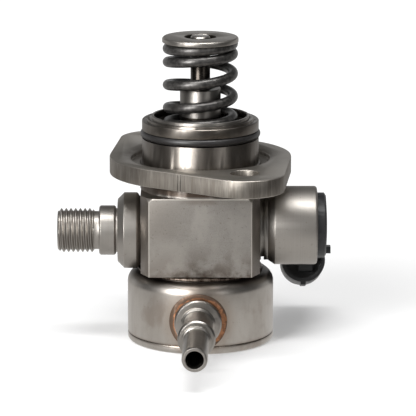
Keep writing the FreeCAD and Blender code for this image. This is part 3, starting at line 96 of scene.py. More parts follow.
class PumpColours(bpy.types.PropertyGroup):
    """Colours of the finishes."""
    steel: FloatVectorProperty(
        name="Steel", description="Turned and milled steel", subtype="COLOR", size=3,
        default=(0.41, 0.385, 0.355))
    plate: FloatVectorProperty(
        name="Plate", description="Stamped flange", subtype="COLOR", size=3, default=(0.36, 0.335, 0.30))
    spring: FloatVectorProperty(
        name="Spring", description="Oiled spring steel", subtype="COLOR", size=3,
        default=(0.055, 0.052, 0.050))
    copper: FloatVectorProperty(
        name="Braze", description="Copper braze", subtype="COLOR", size=3, default=(0.40, 0.19, 0.10))
    plastic: FloatVectorProperty(
        name="Plastic", description="Moulded plastic", subtype="COLOR", size=3,
        default=(0.012, 0.012, 0.013))
    rubber: FloatVectorProperty(
        name="Rubber", description="Rubber rings", subtype="COLOR", size=3, default=(0.014, 0.013, 0.013))
    tint: FloatVectorProperty(
        name="Heat Tint", description="Steel tinted by welding", subtype="COLOR", size=3,
        default=(0.085, 0.060, 0.045))
    # The oil's colour is used as painted shade inside the retainer's counterbore, along the plunger's stem
    # and inside the seal holder's cup.
    oil: FloatVectorProperty(
        name="Oil", description="Film of old oil", subtype="COLOR", size=3, default=(0.028, 0.022, 0.017))


# Shader maths

class Amount:
    """A number or vector in a material. Arithmetic on it adds Math nodes."""

    def __init__(self, finish, socket):
        self.finish = finish
        self.socket = socket

    def math(self, operation, *values):
        """A Math node on some values."""
        return self.finish.add("ShaderNodeMath", {"operation": operation}, dict(enumerate(values)))

    def size(self):
        """The amount without its sign."""
        return self.math("ABSOLUTE", self)

    def larger(self, other):
        """The larger of two amounts."""
        return self.math("MAXIMUM", self, other)

    def __add__(self, other):
        return self.math("ADD", self, other)

    def __radd__(self, other):
        return self.math("ADD", other, self)

    def __sub__(self, other):
        return self.math("SUBTRACT", self, other)

    def __rsub__(self, other):
        return self.math("SUBTRACT", other, self)

    def __mul__(self, other):
        return self.math("MULTIPLY", self, other)

    def __rmul__(self, other):
        return self.math("MULTIPLY", other, self)

    def __truediv__(self, other):
        return self.math("DIVIDE", self, other)

    def between(self, low, high):
        """0 at low and 1 at high, smooth in between."""
        return self.finish.add("ShaderNodeMapRange", {"interpolation_type": "SMOOTHSTEP"},
                               {"Value": self, "From Min": low, "From Max": high})

    def band(self, low, high, soft):
        """1 between low and high, and 0 outside."""
        return self.between(low - soft, low + soft) * (1 - self.between(high - soft, high + soft))


class Nodes:
    """A node tree under construction."""

    def __init__(self, tree):
        self.tree = tree

    def add(self, kind, settings, values, output=0):
        """Adds a node, with its settings first and then its sockets' values or links."""
        node = self.tree.nodes.new(kind)
        for name, value in settings.items():
            setattr(node, name, value)
        for name, value in values.items():
            if isinstance(value, Amount):
                self.tree.links.new(value.socket, node.inputs[name])
            else:
                node.inputs[name].default_value = value
        return Amount(self, node.outputs[output])

    def split(self, vector):
        """The three parts of a vector."""
        first = self.add("ShaderNodeSeparateXYZ", {}, {0: vector})
        return [Amount(self, first.socket.node.outputs[i]) for i in range(3)]

    def length(self, a, b):
        """Distance from an axis, from the two other coordinates."""
        squares = a * a + b * b
        return squares.math("SQRT", squares)

    def sector(self, x, y, turn, wide, soft):
        """1 in a sector round a direction, in degrees from the camera's side towards the left."""
        angle = math.radians(turn)
        along = (x * -math.sin(angle) + y * -math.cos(angle)) / self.length(x, y)
        edge = math.cos(math.radians(wide))
        return along.between(edge - soft, edge + soft)


class Finish(Nodes):
    """A material under construction."""

    def __init__(self, name, colour, metallic=0.0, roughness=0.5):
        self.material = bpy.data.materials.new(name)
        self.material.use_nodes = True
        super().__init__(self.material.node_tree)
        self.shader = self.tree.nodes["Principled BSDF"]
        self.shader.inputs["Base Color"].default_value = (*colour, 1.0)
        self.shader.inputs["Metallic"].default_value = metallic
        self.shader.inputs["Roughness"].default_value = roughness
        self.place = self.add("ShaderNodeTexCoord", {}, {}, "Object")

    def axes(self):
        """Object coordinates in millimetres."""
        return [part * (1 / MM) for part in self.split(self.place)]

    def noise(self, scale, stretch=(1, 1, 1), detail=3.0, roughness=0.55):
        """Noise on object coordinates; scale counts features per millimetre."""
        scales = [part * scale / MM for part in stretch]
        moved = self.add("ShaderNodeMapping", {}, {"Vector": self.place, "Scale": scales})
        settings = {"Vector": moved, "Scale": 1.0, "Detail": detail, "Roughness": roughness}
        return self.add("ShaderNodeTexNoise", {}, settings, "Fac")

    def lines(self, along, scale, detail=4.0):
        """Noise that changes only with one amount in millimetres: turning or grinding marks."""
        row = {0: along * scale, 1: 3.7, 2: 1.9}
        vector = self.add("ShaderNodeCombineXYZ", {}, row)
        return self.add("ShaderNodeTexNoise", {}, {"Vector": vector, "Scale": 1.0, "Detail": detail}, "Fac")

    def blend(self, factor, first, second):
        """Mixes two colours."""
        node = self.tree.nodes.new("ShaderNodeMix")
        node.data_type = "RGBA"
        for socket, value in ((node.inputs[0], factor), (node.inputs[6], first), (node.inputs[7], second)):
            if isinstance(value, Amount):
                self.tree.links.new(value.socket, socket)
            elif socket == node.inputs[0]:
                socket.default_value = value
            else:
                socket.default_value = (*value, 1.0)
        return Amount(self, node.outputs[2])

    def layered(self, colour, layers):
        """A colour with layers over it, each given as (amount, colour), from the lowest up."""
        for amount, layer in layers:
            colour = self.blend(amount, colour, layer)
        return colour

    def facing(self, axis):
        """How far the surface faces along an axis, either way: 0 to 1."""
        normal = self.add("ShaderNodeNewGeometry", {}, {}, "Normal")
        return self.split(normal)[axis].size()

    def set(self, name, value):
        """Links an amount to a socket of the shader."""
        self.tree.links.new(value.socket, self.shader.inputs[name])

    def bump(self, height, depth):
        """Bump from a height between 0 and 1, depth in millimetres."""
        normal = self.add("ShaderNodeBump", {}, {"Height": height, "Distance": depth * MM, "Strength": 1.0})
        self.set("Normal", normal)


def mixed(colour, factor):
    """A colour times a factor."""
    return tuple(part * factor for part in colour)


def turned_steel(name, colour, along, roughness=0.30, stain=0.35, dark=(0.16, 0.13, 0.11), painted_shade_inside=None):
    """Steel with fine marks across an axis: along is 0, 1 or 2 for X, Y or Z.

    The last argument, if given, holds the oil's colour, a radius and two heights; inside them the steel
    takes that colour as painted shade.
    """
    f = Finish(name, colour, 1.0, roughness)
    places = f.axes()
    marks = f.lines(places[along], 9.0)
    broad = f.noise(0.11, detail=4.0)
    spots = f.noise(0.9, detail=2.0).between(0.62, 0.78)
    layers = [
        (broad.between(0.35, 0.75) * stain, mixed(colour, 0.62)),
        (marks.between(0.35, 0.7) * 0.25, mixed(colour, 0.75)),
        (spots * 0.25, dark),
    ]
    # painted shade in the oil's colour, inside a radius and between two heights
    if painted_shade_inside:
        oil, radius, low, high = painted_shade_inside
        soft = 0.05
        inside = 1 - f.length(places[0], places[1]).between(radius - soft, radius + soft)
        layers.append((inside * places[2].band(low, high, soft) * 0.94, oil))
    f.set("Base Color", f.layered(colour, layers))
    f.set("Roughness", roughness + marks * 0.12 + broad * 0.08 + spots * 0.1)
    f.bump(marks, 0.006)
    return f.material


def body_steel(colours):
    """Milled block, turned pilot and a neck darkened by welding and by painted shade under the flange, in
    one piece.
    """
    colour = tuple(colours.steel)
    tint = tuple(colours.tint)
    f = Finish("body_steel", colour, 1.0, 0.32)
    x, y, z = f.axes()
    pilot = z.between(-7.5, -4.5)
    block = 1 - pilot
    marks = f.lines(z, 11.0)
    milled = f.noise(0.55, (0.3, 0.3, 1.6), detail=5.0)
    broad = f.noise(0.085, detail=4.0)
    spots = f.noise(1.3, detail=3.0).between(0.62, 0.74) * 0.4
    grain = f.noise(3.2, detail=2.0)

    # burns near the welds above and below the block, with painted shade on the neck under the flange and on
    # the block's foot where it meets the housing
    # the neck: heat tint, made darker as painted shade under the flange
    neck = z.band(-10.0, -5.6, 0.5)
    neck_brown = f.blend(marks.between(0.4, 0.6), mixed(tint, 0.5), mixed(tint, 1.3))
    # the foot: burn tint, made darker as painted shade where the block meets the housing
    foot = (1 - z.between(BLOCK_LOW + 0.2, BLOCK_LOW + 4.1)) * f.noise(0.28, detail=5.0).between(0.30, 0.58)
    foot_brown = f.blend(f.noise(0.5, detail=4.0).between(0.35, 0.65), tint, (0.20, 0.17, 0.15))
    smoke = f.noise(0.14, detail=5.0).between(0.42, 0.6) * (1 - z.between(-33.5, -24.0))

    # the block's stains and a darker band along its top, painted shade on its upper left and on its sides,
    # and painted highlights along the front face's edges
    cloud = f.noise(0.09, (1.6, 1.0, 0.8), detail=5.0).between(0.42, 0.62) * block
    top = z.band(BLOCK_HIGH - 1.8, BLOCK_HIGH + 0.2, 0.6) * broad.between(0.35, 0.6)
    # painted shade on the block's upper left, which the key lamp lights most
    corner = (1 - x.between(-15.0, 0.0)) * z.band(-24.0, BLOCK_HIGH - 0.1, 3.0)
    # painted shade on the block's side faces
    ends = f.facing(0).between(0.6, 0.9) * block
    front = (1 - y.between(-18.6, -18.2)) * block
    # painted highlights along the front face's upright and upper edges
    painted_highlight_upright_edge = x.size().band(15.95, 16.3, 0.08)
    painted_highlight_upper_edge = z.band(BLOCK_HIGH - 0.4, BLOCK_HIGH + 0.1, 0.08)

    # a film of oil on the pilot
    film = f.noise(0.12, (1.0, 1.0, 0.3), detail=4.0).between(0.3, 0.7)

    shade = f.layered(colour, [
        (broad.between(0.3, 0.75) * 0.28, mixed(colour, 0.68)),
        (grain.between(0.35, 0.7) * 0.3, mixed(colour, 0.55)),
        ((milled * block).between(0.45, 0.8) * 0.3, mixed(colour, 0.7)),
        (smoke * 0.7, (0.20, 0.17, 0.145)),
        (neck * 0.95, neck_brown),
        (z.between(-5.0, -3.0) * (0.62 + film * 0.33), (0.12, 0.104, 0.088)),
        (foot * 0.9, foot_brown),
        (cloud * 0.35, mixed(colour, 1.3)),
        (top * 0.5, (0.24, 0.20, 0.17)),
        (corner * 0.6, (0.25, 0.225, 0.20)),
        (ends * 0.7, (0.16, 0.135, 0.115)),
        (painted_highlight_upright_edge.larger(painted_highlight_upper_edge) * front * 0.6, (0.85, 0.80, 0.73)),
        (spots, (0.14, 0.12, 0.10)),
    ])
    f.set("Base Color", shade)
    f.set("Roughness", 0.26 + broad * 0.10 + block * 0.16 + spots * 0.2)
    f.bump(marks * pilot + milled * block, 0.007)
    return f.material


def burnt_bead(colours):
    """The weld's bead: scaled, dark and uneven."""
    tint = tuple(colours.tint)
    f = Finish("weld_bead", tint, 1.0, 0.3)
    scale = f.noise(0.8, (1.0, 1.0, 0.5), detail=4.0)
    f.set("Base Color", f.blend(scale.between(0.4, 0.66), mixed(tint, 0.6), (0.22, 0.18, 0.15)))
    f.set("Roughness", 0.22 + scale * 0.25)
    f.bump(scale, 0.22)
    return f.material


def plate_steel(colours):
    """Stamped plate: matt faces and upright shear marks on the edge."""
    colour = tuple(colours.plate)
    f = Finish("plate_steel", colour, 1.0, 0.42)
    x, y, z = f.axes()
    away = f.length(x, y)
    flat = f.facing(2).between(0.3, 0.7)
    side = 1 - flat
    shear = f.noise(3.4, (1.0, 1.0, 0.05), detail=3.0)
    coarse = f.noise(0.5, (1.0, 1.0, 0.12), detail=3.0)
    broad = f.noise(0.1, detail=5.0)
    fine = f.noise(2.2, detail=3.0)
    # painted shade in the dish round the collar
    painted_dish_shade = (1 - away.between(18.5, 25.0 + broad * 6.0)) * flat * z.between(-3.5, -1.0)
    ears = away.between(26.0, 34.0) * flat
    # the nicks in the edge are drawn dark: painted shade in them, with a dent from the bump
    nicks = x.band(-7.05, -6.85, 0.08) + x.band(-6.2, -6.0, 0.08)
    nick = nicks * side * (1 - y.between(-22.0, -20.0))
    shade = f.layered(colour, [
        (broad.between(0.35, 0.7) * 0.35, mixed(colour, 0.7)),
        (side * shear.between(0.38, 0.62) * 0.45, mixed(colour, 0.4)),
        (side * (0.25 + coarse.between(0.35, 0.65) * 0.35), (0.13, 0.11, 0.09)),
        (painted_dish_shade * 0.8, (0.075, 0.060, 0.047)),
        (ears * 0.5, mixed(colour, 1.5)),
        (fine.between(0.6, 0.8) * 0.35, mixed(colour, 0.55)),
        (nick * 0.8, (0.04, 0.035, 0.03)),
    ])
    f.set("Base Color", shade)
    f.set("Roughness", 0.36 + broad * 0.12 + side * 0.06)
    height = shear * side * 0.6 + coarse * side * 0.5 + fine * 0.35 - nick * 2.0
    middle = z.band(-5.45, -0.35, 0.12)
    f.bump(height * (0.5 + middle * 0.5), 0.035)
    return f.material


def drawn_steel(colours):
    """Drawn damper shell: soft streaks, with tints where it was welded and brazed, and painted shade on the
    shoulder under the block.
    """
    colour = mixed(tuple(colours.steel), 1.1)
    f = Finish("drawn_steel", colour, 1.0, 0.30)
    x, y, z = f.axes()
    broad = f.noise(0.09, (1.0, 1.0, 0.45), detail=4.0)
    streak = f.noise(0.6, (1.0, 1.0, 0.12), detail=3.0)
    specks = f.noise(1.6, detail=3.0)
    brown = f.noise(0.13, (1.0, 1.0, 0.7), detail=5.0)
    marks = f.lines(z, 7.0)
    # painted shade on the shoulder under the block
    shoulder = z.between(-39.6, -37.2)
    seam = z.band(-57.6, -56.4, 0.35)
    near_braze = 1 - f.length(x + 0.7, z - NIPPLE_HIGH).between(8.0, 13.5)
    front = 1 - y.between(-20.0, -17.0)
    lower = 1 - z.between(-46.0, -38.0)
    shade = f.layered(colour, [
        (broad.between(0.35, 0.72) * 0.42, (0.25, 0.215, 0.185)),
        (streak.between(0.5, 0.8) * 0.2, mixed(colour, 0.6)),
        (specks.between(0.6, 0.76) * 0.3, mixed(colour, 0.35)),
        (shoulder * 0.94, (0.045, 0.038, 0.032)),
        (seam * 0.35, (0.16, 0.12, 0.09)),
        (near_braze * front * 0.45, (0.30, 0.22, 0.16)),
        (brown.between(0.48, 0.68) * lower * 0.4, (0.21, 0.16, 0.125)),
    ])
    f.set("Base Color", shade)
    f.set("Roughness", 0.26 + broad * 0.12 + streak * 0.05 + shoulder * 0.03)
    f.bump(marks + streak * 0.5, 0.005)
    return f.material


def spring_finish(colours):
    """Dark spring steel with a film of oil."""
    colour = tuple(colours.spring)
    f = Finish("spring_steel", colour, 0.85, 0.26)
    f.shader.inputs["Coat Weight"].default_value = 0.2
    f.shader.inputs["Coat Roughness"].default_value = 0.2
    grain = f.noise(0.8, detail=4.0)
    f.set("Base Color", f.blend(grain.between(0.35, 0.7), colour, (0.11, 0.105, 0.10)))
    f.set("Roughness", 0.28 + grain * 0.2)
    f.bump(grain, 0.01)
    return f.material


def copper_finish(colours):
    """Dull copper braze whose dirty outer edge wanders."""
    colour = tuple(colours.copper)
    f = Finish("braze_copper", colour, 0.9, 0.42)
    x, y, z = f.axes()
    grain = f.noise(0.7, detail=4.0)
    wander = f.noise(0.35, detail=3.0) * 2.4 - 1.2
    upper = z.between(NIPPLE_HIGH + 3.0, NIPPLE_HIGH + 8.0)
    away = f.length(x - NIPPLE_ASIDE, z - NIPPLE_HIGH)
    rim = (away + wander * 0.7 + upper * 0.35).between(8.15, 8.6)
    shade = f.layered(colour, [
        (grain.between(0.42, 0.66) * 0.75, (0.15, 0.08, 0.05)),
        (rim * 0.9, (0.12, 0.088, 0.066)),
    ])
    f.set("Base Color", shade)
    f.set("Roughness", 0.36 + grain * 0.2)
    f.bump(grain, 0.12)
    return f.material


def plain(name, colour, metallic=0.0, roughness=0.5, grain=0.0):
    """A simple finish, with a little grain where its depth in mm is given."""
    f = Finish(name, colour, metallic, roughness)
    if grain:
        noise = f.noise(2.5, detail=3.0)
        f.set("Roughness", roughness - 0.06 + noise * 0.12)
        f.bump(noise, grain)
    return f.material


# Shapes

def object_of(name, mesh, material, node=None, body="housing"):
    """Puts a finished mesh in the scene, on its body and in place of its CAD node."""
    obj = bpy.data.objects.new(name, mesh)
    bpy.context.scene.collection.objects.link(obj)
    mesh.materials.clear()
    mesh.materials.append(material)
    if node:
        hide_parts(*([node] if isinstance(node, str) else node))
    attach(obj, body)
    return obj


def settle(obj, modifiers):
    """Applies modifiers, given as (type, settings), and keeps the result as a plain mesh."""
    for kind, settings in modifiers:
        modifier = obj.modifiers.new(kind.title(), kind)
        for name, value in settings.items():
            setattr(modifier, name, value)
    bpy.context.view_layer.update()
    graph = bpy.context.evaluated_depsgraph_get()
    mesh = bpy.data.meshes.new_from_object(obj.evaluated_get(graph), preserve_all_data_layers=True,
                                           depsgraph=graph)
    obj.modifiers.clear()
    obj.data = mesh


def loose_copy(node):
    """The CAD node's mesh as connected faces, its flat faces joined."""
    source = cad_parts[node]
    work = bmesh.new()
    work.from_mesh(source.data)
    work.transform(source.matrix_world)
    bmesh.ops.remove_doubles(work, verts=work.verts, dist=2e-6)
    bmesh.ops.dissolve_limit(work, angle_limit=math.radians(0.4), verts=work.verts, edges=work.edges,
                             delimit=set())
    mesh = bpy.data.meshes.new(node)
    work.to_mesh(mesh)
    work.free()
    return mesh


def dressed(node, material, edge, body="housing"):
    """Puts a CAD node in the scene with broken edges and smooth curved faces."""
    sharpest_smooth = math.radians(28)
    mesh = loose_copy(node)
    obj = bpy.data.objects.new(node + "_dressed", mesh)
    bpy.context.scene.collection.objects.link(obj)
    for polygon in mesh.polygons:
        polygon.use_smooth = True
    settle(obj, [("BEVEL", {"width": edge, "segments": 2, "limit_method": "ANGLE",
                            "angle_limit": sharpest_smooth, "use_clamp_overlap": True,
                            "harden_normals": True})])
    obj.data.materials.clear()
    obj.data.materials.append(material)
    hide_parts(node)
    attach(obj, body)


def softened(points, size):
    """Breaks the corners of an open outline, given as (radius, height) points."""
    soft = [points[0]]
    for before, corner, after in zip(points, points[1:], points[2:]):
        here = Vector(corner)
        back, ahead = Vector(before) - here, Vector(after) - here
        first = here + back.normalized() * min(size, back.length * 0.4)
        second = here + ahead.normalized() * min(size, ahead.length * 0.4)
        middle = (first + second) * 0.25 + here * 0.5
        soft += [tuple(first), tuple(middle), tuple(second)]
    return soft + [points[-1]]


def lathe(profile, around):
    """A turned ring from a closed outline of (radius, height) points in mm, round Z."""
    work = bmesh.new()
    rings = []
    for radius, height in profile:
        ring = []
        for i in range(around):
            angle = 2 * math.pi * i / around
            ring.append(work.verts.new(at_angle(radius, angle, height)))
        rings.append(ring)
    for lower, upper in zip(rings, rings[1:] + rings[:1]):
        for k in range(around):
            n = (k + 1) % around
            work.faces.new((lower[k], lower[n], upper[n], upper[k]))
    bmesh.ops.remove_doubles(work, verts=work.verts, dist=1e-7)
    bmesh.ops.recalc_face_normals(work, faces=work.faces)
    for face in work.faces:
        face.smooth = True
    mesh = bpy.data.meshes.new("turned")
    work.to_mesh(mesh)
    work.free()
    return mesh


def at_angle(radius, angle, height):
    """A point in metres, from a radius and a height in mm and an angle round Z."""
    return radius * MM * math.cos(angle), radius * MM * math.sin(angle), height * MM


def ring_section(radius, height, wire, flat=1.0, points=20):
    """Section of a round bead: radius, height and half thickness in mm."""
    return [(radius + wire * math.cos(2 * math.pi * i / points),
             height + flat * wire * math.sin(2 * math.pi * i / points)) for i in range(points)]


def helix_points(sizes, steps=64):
    """Centre line of the return spring. Its end turns lie on each other and are ground flat."""
    low, high, turns, wire = sizes.coil_low, sizes.coil_high, sizes.coil_turns, sizes.wire
    closed_low, closed_high, ramp = 1.05, 1.4, 0.2
    closed = closed_low + closed_high
    ground = 1.2 * wire
    rise = high - low - 2 * wire + 2 * ground
    slow = 1.03 * 2 * wire
    quick = (rise - (closed + ramp) * slow) / (turns - closed - ramp)

    def climb(at, flat):
        """Height gained from the spring's end, with the pitch growing over the ramp."""
        part = min(max(at - flat, 0.0), ramp)
        steady = max(at - flat - ramp, 0.0)
        return slow * (at - steady) + (quick - slow) * part * part / (2 * ramp) + quick * steady

    points = []
    for i in range(int(turns * steps) + 1):
        at = i / steps
        if at <= turns / 2:
            up = climb(at, closed_low)
        else:
            up = rise - climb(turns - at, closed_high)
        angle = 2 * math.pi * at
        points.append((sizes.coil * math.cos(angle), sizes.coil * math.sin(angle), low + wire - ground + up))
    return points


def wire_tree(material):
    """Geometry nodes that give a line its round wire."""
    tree = bpy.data.node_groups.new("round_wire", "GeometryNodeTree")
    face = tree.interface
    face.new_socket("Geometry", in_out="INPUT", socket_type="NodeSocketGeometry")
    radius = face.new_socket("Wire Radius", in_out="INPUT", socket_type="NodeSocketFloat")
    sides = face.new_socket("Sides", in_out="INPUT", socket_type="NodeSocketInt")
    face.new_socket("Geometry", in_out="OUTPUT", socket_type="NodeSocketGeometry")
    nodes, links = tree.nodes, tree.links
    start = nodes.new("NodeGroupInput")
    end = nodes.new("NodeGroupOutput")
    line = nodes.new("GeometryNodeMeshToCurve")
    circle = nodes.new("GeometryNodeCurvePrimitiveCircle")
    sweep = nodes.new("GeometryNodeCurveToMesh")
    sweep.inputs["Fill Caps"].default_value = True
    smooth = nodes.new("GeometryNodeSetShadeSmooth")
    real = nodes.new("GeometryNodeRealizeInstances")
    paint = nodes.new("GeometryNodeSetMaterial")
    paint.inputs["Material"].default_value = material
    links.new(start.outputs["Geometry"], line.inputs[0])
    links.new(start.outputs["Wire Radius"], circle.inputs["Radius"])
    links.new(start.outputs["Sides"], circle.inputs["Resolution"])
    links.new(line.outputs[0], sweep.inputs["Curve"])
    links.new(circle.outputs["Curve"], sweep.inputs["Profile Curve"])
    links.new(sweep.outputs[0], smooth.inputs[0])
    links.new(smooth.outputs[0], real.inputs[0])
    links.new(real.outputs[0], paint.inputs["Geometry"])
    links.new(paint.outputs["Geometry"], end.inputs[0])
    return tree, radius.identifier, sides.identifier


def flat_end(work, height, keep_below):
    """Grinds a mesh flat at a height and closes the cut."""
    whole = work.verts[:] + work.edges[:] + work.faces[:]
    cut = bmesh.ops.bisect_plane(work, geom=whole, plane_co=(0, 0, height), plane_no=(0, 0, 1),
                                 clear_outer=keep_below, clear_inner=not keep_below)
    edges = [part for part in cut["geom_cut"] if isinstance(part, bmesh.types.BMEdge)]
    made = bmesh.ops.edgenet_fill(work, edges=edges)
    for face in made["faces"]:
        face.smooth = False


# Operators, one for each group of like pieces

class PUMP_OT_body(bpy.types.Operator):
    """Dresses the milled and turned pump body and lays the weld's bead on the shoulder"""
    bl_idname = "pump.body"
    bl_label = "Pump Body"

    def execute(self, context):
        scene = context.scene
        steel = body_steel(scene.pump_colours)
        dressed("pump_body", steel, edge=scene.pump_sizes.edge * 1.8)
        middle_r, half_wide, flat = 18.9, 0.98, 0.72
        section = ring_section(middle_r, BLOCK_LOW - 0.82, half_wide, flat)
        object_of("shoulder_weld", lathe(section, scene.pump_sizes.around), burnt_bead(scene.pump_colours))
        return {"FINISHED"}


class PUMP_OT_flange(bpy.types.Operator):
    """Dresses the stamped flange"""
    bl_idname = "pump.flange"
    bl_label = "Mounting Flange"

    def execute(self, context):
        plate = plate_steel(context.scene.pump_colours)
        dressed("mounting_flange", plate, edge=0.00035)
        return {"FINISHED"}


class PUMP_OT_damper(bpy.types.Operator):
    """Dresses the damper housing and its lid"""
    bl_idname = "pump.damper"
    bl_label = "Damper Housing"

    def execute(self, context):
        steel = drawn_steel(context.scene.pump_colours)
        dressed("damper_housing", steel, edge=0.00012)
        dressed("damper_lid", steel, edge=0.00012)
        return {"FINISHED"}


class PUMP_OT_inlet(bpy.types.Operator):
    """Dresses the inlet nipple and its copper braze"""
    bl_idname = "pump.inlet"
    bl_label = "Inlet Nipple"

    def execute(self, context):
        colours = context.scene.pump_colours
        steel = turned_steel("nipple_steel", mixed(tuple(colours.steel), 0.86), 1, roughness=0.2, stain=0.6)
        dressed("inlet_nipple", steel, edge=0.00018)
        dressed("inlet_braze_ring", copper_finish(colours), edge=0.0002)
        return {"FINISHED"}


class PUMP_OT_outlet(bpy.types.Operator):
    """Dresses the outlet fitting and cuts its thread"""
    bl_idname = "pump.outlet"
    bl_label = "Outlet Fitting"

    def execute(self, context):
        sizes, colours = context.scene.pump_sizes, context.scene.pump_colours
        steel = turned_steel("outlet_steel", mixed(tuple(colours.steel), 0.9), 0, roughness=0.3)
        mesh = self.fitting(sizes)
        obj = object_of("outlet_fitting_dressed", mesh, steel, "outlet_fitting")
        settle(obj, [("WEIGHTED_NORMAL", {"keep_sharp": True, "weight": 80})])
        return {"FINISHED"}

    def fitting(self, sizes):
        """The whole fitting as one turned mesh whose thread winds as a helix."""
        pitch, depth = sizes.thread_pitch / MM, sizes.thread_depth / MM
        around = sizes.around
        spigot_r, collar_r, neck_r, land_r, core_r = 7.2, 12.1, 7.0, 7.9, 6.1
        thread_r, tip_r, cone_r, bore_r, valve_r = 7.0, 5.9, 4.95, 1.7, 4.6
        spigot_low, collar_low, collar_high, land_low, land_high = 11.0, 18.8, 26.3, 26.9, 32.2
        valve_high, cone_low, start, end = 28.26, 41.7, 33.7, 45.4
        edge, cone, drill_tip = 0.45, 2.1, 1.74
        root_flat, flank = 0.12, 0.74
        before = softened([
            (valve_r, spigot_low), (spigot_r, spigot_low), (spigot_r, collar_low),
            (collar_r - 1.8, collar_low), (collar_r - 0.5, collar_low + 0.9), (collar_r, collar_low + 1.4),
            (collar_r, collar_high - cone), (collar_r - cone, collar_high),
            (neck_r, collar_high), (neck_r, land_low),
            (land_r - edge, land_low), (land_r, land_low + edge),
            (land_r, land_high - edge), (land_r - edge, land_high),
            (core_r, land_high), (core_r, land_high + 1.3)], 0.12)
        inside = [
            (tip_r, end), (cone_r, end), (cone_r - 0.1, end - 0.08), (bore_r + 0.1, cone_low + 0.2),
            (bore_r, cone_low), (bore_r, valve_high + drill_tip), (valve_r, valve_high)]
        per_turn = 16
        work = bmesh.new()
        rings = []

        def ring(radius_at):
            made = []
            for i in range(around + 1):
                angle = 2 * math.pi * i / around
                radius, height = radius_at(angle)
                made.append(work.verts.new(at_angle(radius, angle, height)))
            rings.append(made)

        for point in before:
            ring(lambda angle, point=point: point)
        for step in range(int(((end - start) / pitch + 1) * per_turn) + 2):
            turn = step / per_turn - 1

            def thread(angle, turn=turn):
                height = min(max(start + pitch * (turn + angle / (2 * math.pi)), start), end)
                groove = abs(turn % 1.0 - 0.5) * 2
                groove = min(max((groove - root_flat) / flank, 0.0), 1.0)
                tip = thread_r - max(0.0, height - (end - 1.0))
                root = core_r + max(0.0, height - start) * 1.5
                return min(thread_r - depth * (1 - groove), tip, root), height
            ring(thread)
        for point in inside:
            ring(lambda angle, point=point: point)
        for lower, upper in zip(rings, rings[1:] + rings[:1]):
            for k in range(around):
                face = work.faces.new((lower[k], lower[k + 1], upper[k + 1], upper[k]))
                face.smooth = True
        bmesh.ops.remove_doubles(work, verts=work.verts, dist=2e-7)
        bmesh.ops.recalc_face_normals(work, faces=work.faces)
        work.transform(Matrix.Translation((0, 0, OUTLET_HIGH * MM)) @ Matrix.Rotation(-math.pi / 2, 4, "Y"))
        sharpen(work, 32)
        mesh = bpy.data.meshes.new("outlet_fitting")
        work.to_mesh(mesh)
        work.free()
        return mesh


def sharpen(work, limit):
    """Marks edges sharper than a limit in degrees, so that shading breaks there."""
    for edge in work.edges:
        if len(edge.link_faces) == 2 and edge.calc_face_angle() > math.radians(limit):
            edge.smooth = False


class PUMP_OT_solenoid(bpy.types.Operator):
    """Dresses the solenoid's can, its neck and the black connector moulding"""
    bl_idname = "pump.solenoid"
    bl_label = "Solenoid"

    def execute(self, context):
        colours = context.scene.pump_colours
        can = turned_steel("can_steel", mixed(tuple(colours.steel), 0.9), 0, roughness=0.34, stain=0.2)
        dressed("solenoid_can", can, edge=0.00015)
        neck = turned_steel("neck_steel", mixed(tuple(colours.steel), 0.62), 0, roughness=0.28, stain=0.6,
                            dark=(0.11, 0.055, 0.03))
        dressed("valve_housing", neck, edge=0.00015)
        plastic = plain("connector_plastic", tuple(colours.plastic), 0.0, 0.46, 0.01)
        dressed("connector_housing", plastic, edge=0.00025)
        return {"FINISHED"}


class PUMP_OT_plunger(bpy.types.Operator):
    """Dresses the plunger, its retainer, seal holder and O-ring"""
    bl_idname = "pump.plunger"
    bl_label = "Plunger and Seal Holder"

    def execute(self, context):
        colours = context.scene.pump_colours
        steel, oil = tuple(colours.steel), tuple(colours.oil)
        # the oil's colour as painted shade in the retainer's counterbore, along the plunger's stem and
        # inside the seal holder's cup
        painted_shade_inside = (oil, 5.25, 34.0, 37.75)
        bright = turned_steel("retainer_steel", mixed(steel, 0.9), 2, roughness=0.28, stain=0.2, painted_shade_inside=painted_shade_inside)
        dressed("spring_retainer", bright, body="plunger_set", edge=0.00015)
        painted_shade_inside = (oil, 4.0, 5.0, 37.7)
        ground = turned_steel("ground_steel", mixed(steel, 1.1), 2, roughness=0.18, stain=0.1, painted_shade_inside=painted_shade_inside)
        dressed("plunger", ground, body="plunger_set", edge=0.0001)
        painted_shade_inside = (oil, 14.9, 8.6, 12.8)
        sheet = turned_steel("sheet_steel", mixed(steel, 0.62), 2, roughness=0.26, stain=0.6, painted_shade_inside=painted_shade_inside)
        dressed("seal_holder", sheet, edge=0.00015)
        rubber = plain("ring_rubber", tuple(colours.rubber), 0.0, 0.38, 0.006)
        ring_r, ring_high, half_wire = 17.81, 7.125, 1.2
        section = ring_section(ring_r, ring_high, half_wire, points=28)
        mesh = lathe(section, context.scene.pump_sizes.around)
        object_of("pilot_o_ring_dressed", mesh, rubber, "pilot_o_ring")
        return {"FINISHED"}


